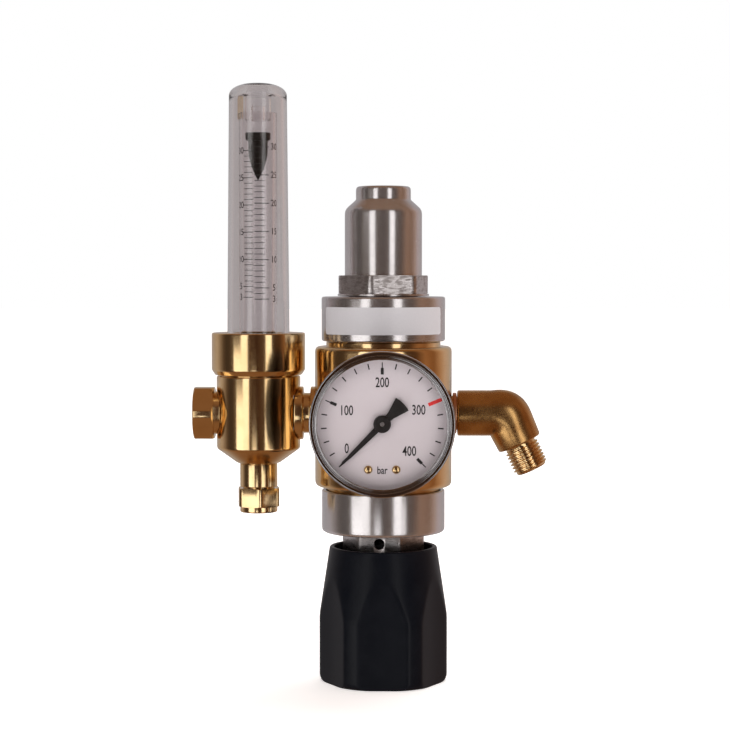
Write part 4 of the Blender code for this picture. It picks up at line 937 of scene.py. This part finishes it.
def bar_mesh(width, height):
    """A printed bar, centred, as a thin mesh in millimetres."""
    made = bmesh.new()
    bmesh.ops.create_cube(made, size=1.0)
    bmesh.ops.scale(made, vec=(width, height, INK_THICKNESS), verts=made.verts)
    return mesh_of("print", made)


def joined(name, meshes):
    made = bmesh.new()
    for mesh in meshes:
        made.from_mesh(mesh)
        bpy.data.meshes.remove(mesh)
    return mesh_of(name, made)


SCALE_NUMBERS = (3, 5, 10, 15, 20, 25, 30)


def scale_prints(first, unit, side, major, minor, numeral):
    """One flow scale: ticks that start at the tube's own line and run to one side."""
    prints = []
    for flow in range(3, 31):
        height, numbered = first + (flow - 3) * unit, flow in SCALE_NUMBERS
        length, thick = (major, 0.3) if numbered else (minor, 0.24)
        prints.append(moved(bar_mesh(length, thick), side * length / 2, height))
        if numbered:
            prints.append(moved(text_mesh(str(flow), 2.4, 1.05), side * numeral, height))
    return prints


def make_scales():
    """Two printed scales on the metering tube, turned round it to the right and to the left."""
    for name, start, first, unit, side, major, minor, numeral in (
        ("flow_scale_right", -6.7, 42.5, 2.08, 1, 5.3, 3.7, 7.9),
        ("flow_scale_left", -12.0, 43.2, 2.0, -1, 4.0, 3.4, 5.4),
    ):
        mesh = joined(name, scale_prints(first, unit, side, major, minor, numeral))
        wrap(mesh, METER_R + INK_THICKNESS, 0.35)
        turn = Matrix.Rotation(math.radians(start), 3, "Z")
        add(name, mesh, INK, TUBE_CENTRE, turn)


def make_outlet():
    turned("hose_stem", [
        (2.5, -15.9), (5.9, -15.9, 0.2), (5.9, -18.9), (7, -18.9, 0.3), (7, -27.5, 0.4),
        (5.6, -27.5), (5.6, -31, 0.2), (4.9, -31.6), (4.1, -31.6), (4.1, -26), (2.5, -26),
    ], BRASS_SMOOTH, TUBE_CENTRE, replaces=["outlet_stem"])
    nut = turned("hose_nut", [
        (5.9, -34.6), (5.9, -28, 0.3),
        *hex_rings(OUTLET_HEX, OUTLET_CORNER, -27.9, -34.9),
        (7, -34.95, 0.1), (7, -37.1, 0.6), (4.1, -37.1, 0.4), (4.1, -35.6),
    ], BRASS_SMOOTH, TUBE_CENTRE, start=OUTLET_CORNER, replaces=["outlet_nut"])
    soften(nut, 0.12, 2, 28)


# --- Gauge ---

BEZEL_R, DIAL_R, DIAL_FACE = 25.25, 23.2, 54.3
PRINT_FACE = DIAL_FACE + 0.03
SWEEP, TOP_READING = math.radians(270), 400
POINTER_TAIL, POINTER_FAN = 10.2, 35.0
STEM_HEX = 14.0


def make_gauge_case():
    turned("gauge_shell", [
        (23.8, 57), (24.6, 57, 0.3), (24.6, 37, 1.8), (7.5, 37, 0.3), (7.5, 37.8),
        (23.8, 37.8, 1.2),
    ], CASE_STEEL, turn=FORWARD, segments=LARGE, replaces=["gauge_case"])
    lip = [(22.75 + 0.45 * math.cos(math.pi * i / 10), 59.1 + 0.4 * math.sin(math.pi * i / 10))
           for i in range(11)]
    turned("bezel_ring", [
        (24.85, 58), (24.85, 55), (24.95, 54.8, 0.2), (BEZEL_R, 55.2, 0.4),
        (BEZEL_R, 59.5), (25.15, 59.8), (24.95, 59.95), (24.8, 60), (24.7, 60), (24, 60),
        (23.9, 60), (23.75, 59.85), (23.7, 59.65), (23.6, 59.2), (23.4, 59.1), (23.2, 59.1),
        *lip, (22.3, 58.75), (24.2, 58.7),
    ], CHROME, turn=FORWARD, segments=192, replaces=["gauge_bezel"], sharp=60)
    turned("window_disc", [
        (0, 58.6), (21.9, 58.6), (22.1, 58.6), (22.2, 58.5), (24.2, 58.5), (24.2, 57.35),
        (0, 57.35),
    ], WINDOW, turn=FORWARD, segments=LARGE, replaces=["gauge_window"])
    turned("dial_plate", [
        (1.8, DIAL_FACE, 0.1), (DIAL_R, DIAL_FACE, 0.1), (DIAL_R, 53.8), (1.8, 53.8),
    ], DIAL_PAINT, turn=FORWARD, segments=LARGE, replaces=["gauge_dial"])


def moved(mesh, x, y, clockwise=0.0):
    """Moves a flat print to a place in its own plane, turned clockwise."""
    mesh.transform(Matrix.Translation((x, y, 0)) @ Matrix.Rotation(-clockwise, 4, "Z"))
    return mesh


def dial_angle(reading):
    """The angle clockwise from the top at which the dial shows a reading."""
    return SWEEP * (reading / TOP_READING - 0.5)


def dial_bar(reading, inner, outer, width):
    angle, middle = dial_angle(reading), (inner + outer) / 2
    return moved(bar_mesh(width, outer - inner), middle * math.sin(angle),
                 middle * math.cos(angle), angle)


def make_dial_prints():
    prints = []
    for step in range(21):
        reading = step * 20
        if reading % 100:
            prints.append(dial_bar(reading, 19.3, 21.3, 0.44))
        elif reading != 300:
            prints.append(dial_bar(reading, 19.4, 21.3, 0.38))
            prints.append(dial_bar(reading, 17.1, 19.4, 1.05))
    for text, x, y in (("0", -12.3, -8.7), ("100", -12.4, 4.5), ("200", 0.0, 14.2),
                       ("300", 12.6, 4.7), ("400", 9.4, -9.6)):
        prints.append(moved(text_mesh(text, 3.4, 0.66, 0.06), x, y))
    prints.append(moved(text_mesh("bar", 2.6, 0.74, 0.06), 0.0, -16.2))
    flat_piece("dial_prints", joined("dial_prints", prints), INK)
    flat_piece("dial_red_mark", joined("dial_red_mark", [dial_bar(300, 17.3, 22.2, 1.25)]),
               RED_PAINT)


def flat_piece(name, mesh, look, forward=PRINT_FACE, **riding):
    """A flat mesh in millimetres, laid on the gauge and seen from the front."""
    mesh.transform(Matrix.Scale(MM, 4))
    mesh.transform(Matrix.Translation((0, 0, forward * MM)))
    return add(name, mesh, look, turn=FORWARD, **riding)


def make_dial_screws():
    for word, side in (("left", -1), ("right", 1)):
        place = (side * 4.85, 0, -15.9)
        head = turned(f"dial_rivet_{word}", [
            (0, 55.25), (0.6, 55.2), (1.15, 55, 0.2), (1.5, 54.6, 0.1), (1.45, 54.4, 0.1),
            (0.6, 54.4), (0.6, 48.8), (0, 48.8),
        ], BRASS_SMOOTH, place, FORWARD, SMALL, replaces=[f"dial_screw_{word}"])
        slot = bar_mesh(0.34, 4.0)
        slot.transform(Matrix.Diagonal((MM, MM, MM * 0.5 / INK_THICKNESS, 1.0)))
        turn = FORWARD @ Matrix.Rotation(math.radians(35 * side), 3, "Z")
        cut(head, stand("cutter", slot, (place[0], -55.3, place[2]), turn))


def make_pointer():
    """The needle with its fan-shaped tail, and the boss that presses it on its arbor."""
    side = [(0.16, 20.6), (0.62, 15.5), (1.05, 2), (1.2, -3), (1.35, -4.2), (2, -6.4)]
    needle = [(0, 20.9), *side]
    for i in range(9):
        angle = math.radians(-90 + POINTER_FAN * (0.5 - i / 8))
        needle.append((POINTER_TAIL * math.cos(angle), POINTER_TAIL * math.sin(angle)))
    needle += [(-x, y) for x, y in reversed(side)]
    mesh = moved(filled_mesh("needle", needle, 0.16, 0.06), 0, 0, dial_angle(0))
    flat_piece("pointer_needle", mesh, POINTER_PAINT, 55.92, body="pointer",
               replaces=["gauge_pointer"])
    turned("pointer_boss", [
        (0.85, 56.75), (2.55, 56.85, 0.3), (3.05, 56.5, 0.3), (3.05, 55.5, 0.2), (0.85, 55.5),
    ], POINTER_PAINT, turn=FORWARD, body="pointer")


def make_gauge_stem():
    stem = turned("gauge_stem", [
        (0, 40.6), (7.2, 40.6, 0.3), (7.2, 36.2),
        *hex_rings(STEM_HEX, 0.0, 36.4, 27.6),
        (6.58, 27.6), (6.58, 16, 0.6), (1.5, 16), (1.5, 39), (0, 39),
    ], BRASS_SMOOTH, turn=FORWARD, replaces=["gauge_socket"])
    soften(stem, 0.1, 2, 28)
    soften(add("gauge_stem_block", stem_block(), INNER_BRASS), 0.3, 2, 28)
    turned("gauge_washer", [(8.8, 27.3, 0.3), (8.8, 25.8, 0.3), (6.9, 25.8), (6.9, 27.3)],
           COPPER, turn=FORWARD, replaces=["gauge_seal"])


def stem_block():
    """The stem's end inside the case: a bar down the back and the lug that holds the tube."""
    outline = [(38.1, -0.5), (41.0, -0.5), (41.0, -15.4), (47.5, -15.4), (47.5, -19.8),
               (38.1, -19.8)]
    half = 3.4 * MM
    made = bmesh.new()
    face = made.faces.new([made.verts.new((-half, -y * MM, z * MM)) for y, z in outline])
    grown = bmesh.ops.extrude_face_region(made, geom=[face])["geom"]
    side = [part for part in grown if isinstance(part, bmesh.types.BMVert)]
    bmesh.ops.translate(made, verts=side, vec=(2 * half, 0, 0))
    bmesh.ops.recalc_face_normals(made, faces=made.faces)
    return mesh_of("gauge_stem_block", made)


# --- Stage ---

def make_floor():
    """A pale floor that glows with painted light, like a light table though no lamp lies under it.
    The glow is dimmer near the object, a painted shade, so that the object's contact shadow shows,
    and the floor is hidden from the metal's reflections."""
    made = bmesh.new()
    bmesh.ops.create_grid(made, x_segments=2, y_segments=2, size=FLOOR_SIZE)
    floor = stand("floor", mesh_of("floor", made), (0, 0, FLOOR_Z - 0.05))
    floor.visible_glossy = floor.visible_shadow = floor.visible_transmission = False
    look = Look("pale_floor_painted_glow", (0.9, 0.89, 0.89), 0.8)
    mottle = look.noise(0.004, detail=3.0)
    look.put("Base Color", look.mix(look.spread(mottle, 0.0, 1.0), (0.90, 0.89, 0.89),
                                    (0.88, 0.87, 0.87)))
    look.put("Specular IOR Level", 0.0)
    distance = look.node("ShaderNodeVectorMath", operation="LENGTH")
    look.link(look.place, distance.inputs[0])
    # Painted glow and painted shade: the floor's own emission rises from 0.55 within 60 mm of the
    # object to 1.0 beyond 900 mm.
    look.put("Emission Color", (1.0, 0.995, 0.99))
    look.put("Emission Strength", look.spread(distance.outputs["Value"], 0.55, 1.0, 60.0, 900.0))
    floor.data.materials.append(look.material)


def softbox(name, azimuth, width, height, tall, radiance, colour=(1, 1, 1), glossy=True):
    """A rectangular light that faces the object from LIGHT_DISTANCE. Azimuth is measured from
    the camera's side, and the width and the two heights are angles as seen from the object."""
    data = bpy.data.lights.new(name, "AREA")
    data.shape = "RECTANGLE"
    data.size = 2 * LIGHT_DISTANCE * math.tan(math.radians(width / 2))
    data.size_y = 2 * LIGHT_DISTANCE * math.tan(math.radians(tall / 2))
    data.energy = radiance * math.pi * data.size * data.size_y
    data.color = colour
    turn, lift = math.radians(azimuth), math.radians(height)
    place = Vector((math.sin(turn) * math.cos(lift), -math.cos(turn) * math.cos(lift),
                    math.sin(lift))) * LIGHT_DISTANCE / MM
    lamp = stand(name, data, place, facing(-place))
    lamp.visible_glossy = lamp.visible_transmission = glossy


def facing(direction):
    """The turn that points a light or a camera along a direction, with its top upwards."""
    return direction.to_track_quat("-Z", "Y").to_matrix()


# The room round the object, as the metal shows it: azimuth from the camera's side, then colour.
ROOM = (
    (-180, (0.42, 0.395, 0.40)), (-150, (0.42, 0.395, 0.40)), (-118, (0.46, 0.41, 0.40)),
    (-104, (0.27, 0.22, 0.20)), (-92, (0.10, 0.072, 0.058)), (-82, (0.055, 0.04, 0.032)),
    (-70, (0.065, 0.045, 0.035)), (-62, (0.14, 0.11, 0.09)), (-20, (0.085, 0.05, 0.035)),
    (0, (0.045, 0.021, 0.012)), (12, (0.085, 0.05, 0.035)), (42, (0.06, 0.032, 0.02)),
    (57, (0.08, 0.04, 0.022)), (76, (0.32, 0.165, 0.09)), (95, (0.24, 0.115, 0.058)),
    (110, (0.44, 0.28, 0.20)), (126, (0.54, 0.43, 0.41)), (150, (0.44, 0.40, 0.395)),
    (180, (0.42, 0.395, 0.40)),
)
OVERHEAD = (0.24, 0.125, 0.065)
PALE_OVERHEAD = (0.46, 0.43, 0.43)
OVERHEAD_FROM = (0.45, 0.85)


def make_room():
    """The surroundings: the room's colours by azimuth, dimmer overhead and underfoot. The camera
    itself sees white past the floor's edge."""
    world = bpy.data.worlds.new("studio")
    bpy.context.scene.world = world
    world.use_nodes = True
    room = Nodes(world.node_tree)
    parts = room.node("ShaderNodeSeparateXYZ")
    room.link(room.node("ShaderNodeTexCoord").outputs["Generated"], parts.inputs[0])
    x, y, z = parts.outputs
    azimuth = room.maths("ARCTAN2", x, room.maths("MULTIPLY", y, -1.0))
    ramp = room.node("ShaderNodeValToRGB")
    stops = ramp.color_ramp.elements
    for angle, colour in ROOM[1:-1]:
        stops.new((angle + 180) / 360).color = (*colour, 1.0)
    for stop, (_, colour) in ((stops[0], ROOM[0]), (stops[-1], ROOM[-1])):
        stop.color = (*colour, 1.0)
    room.link(room.spread(azimuth, 0.0, 1.0, -math.pi, math.pi), ramp.inputs["Fac"])
    steep = room.spread(room.maths("ABSOLUTE", z), 0.0, 1.0, *OVERHEAD_FROM, "SMOOTHSTEP")
    path = room.node("ShaderNodeLightPath").outputs
    overhead = room.mix(path["Is Transmission Ray"], OVERHEAD, PALE_OVERHEAD)
    colours = room.mix(steep, ramp.outputs["Color"], overhead)
    room.link(room.mix(path["Is Camera Ray"], colours, (1.0, 1.0, 1.0)),
              room.tree.nodes["Background"].inputs["Color"])


def make_light():
    softbox("left_strip", -33, 17, 0, 62, 1.5, (1.0, 0.985, 0.97))
    softbox("left_softbox", -51, 19, -15, 33, 1.7, (1.0, 0.985, 0.97))
    softbox("right_strip", 27, 15, 0, 62, 1.6, (1.0, 0.98, 0.97))
    softbox("front_low", -10, 12, -18, 16, 1.4)
    softbox("right_softbox", 39, 8, -16, 30, 1.2, (1.0, 0.98, 0.97))
    softbox("top_softbox", 150, 50, 72, 50, 3.5, glossy=False)
    softbox("front_fill", -5, 60, 40, 30, 1.2, glossy=False)


def make_camera():
    data = bpy.data.cameras.new("camera")
    data.sensor_width = 36.0
    data.lens = 97.0
    data.clip_start, data.clip_end = 0.01, 50.0
    place, target = Vector((5.0, -733.0, 51.5)), Vector((-6.84, 0.0, 17.9))
    bpy.context.scene.camera = stand("camera", data, place, facing(target - place))
    bpy.context.scene.view_settings.view_transform = "Standard"


dress_frame()
make_body()
make_cover()
make_housing()
make_bonnet()
make_knob()
make_elbow()
make_outlet_joint()
make_flow_body()
make_tubes()
make_outlet()
make_gauge_case()
make_dial_prints()
make_dial_screws()
make_pointer()
make_gauge_stem()
make_floor()
make_room()
make_light()
make_camera()
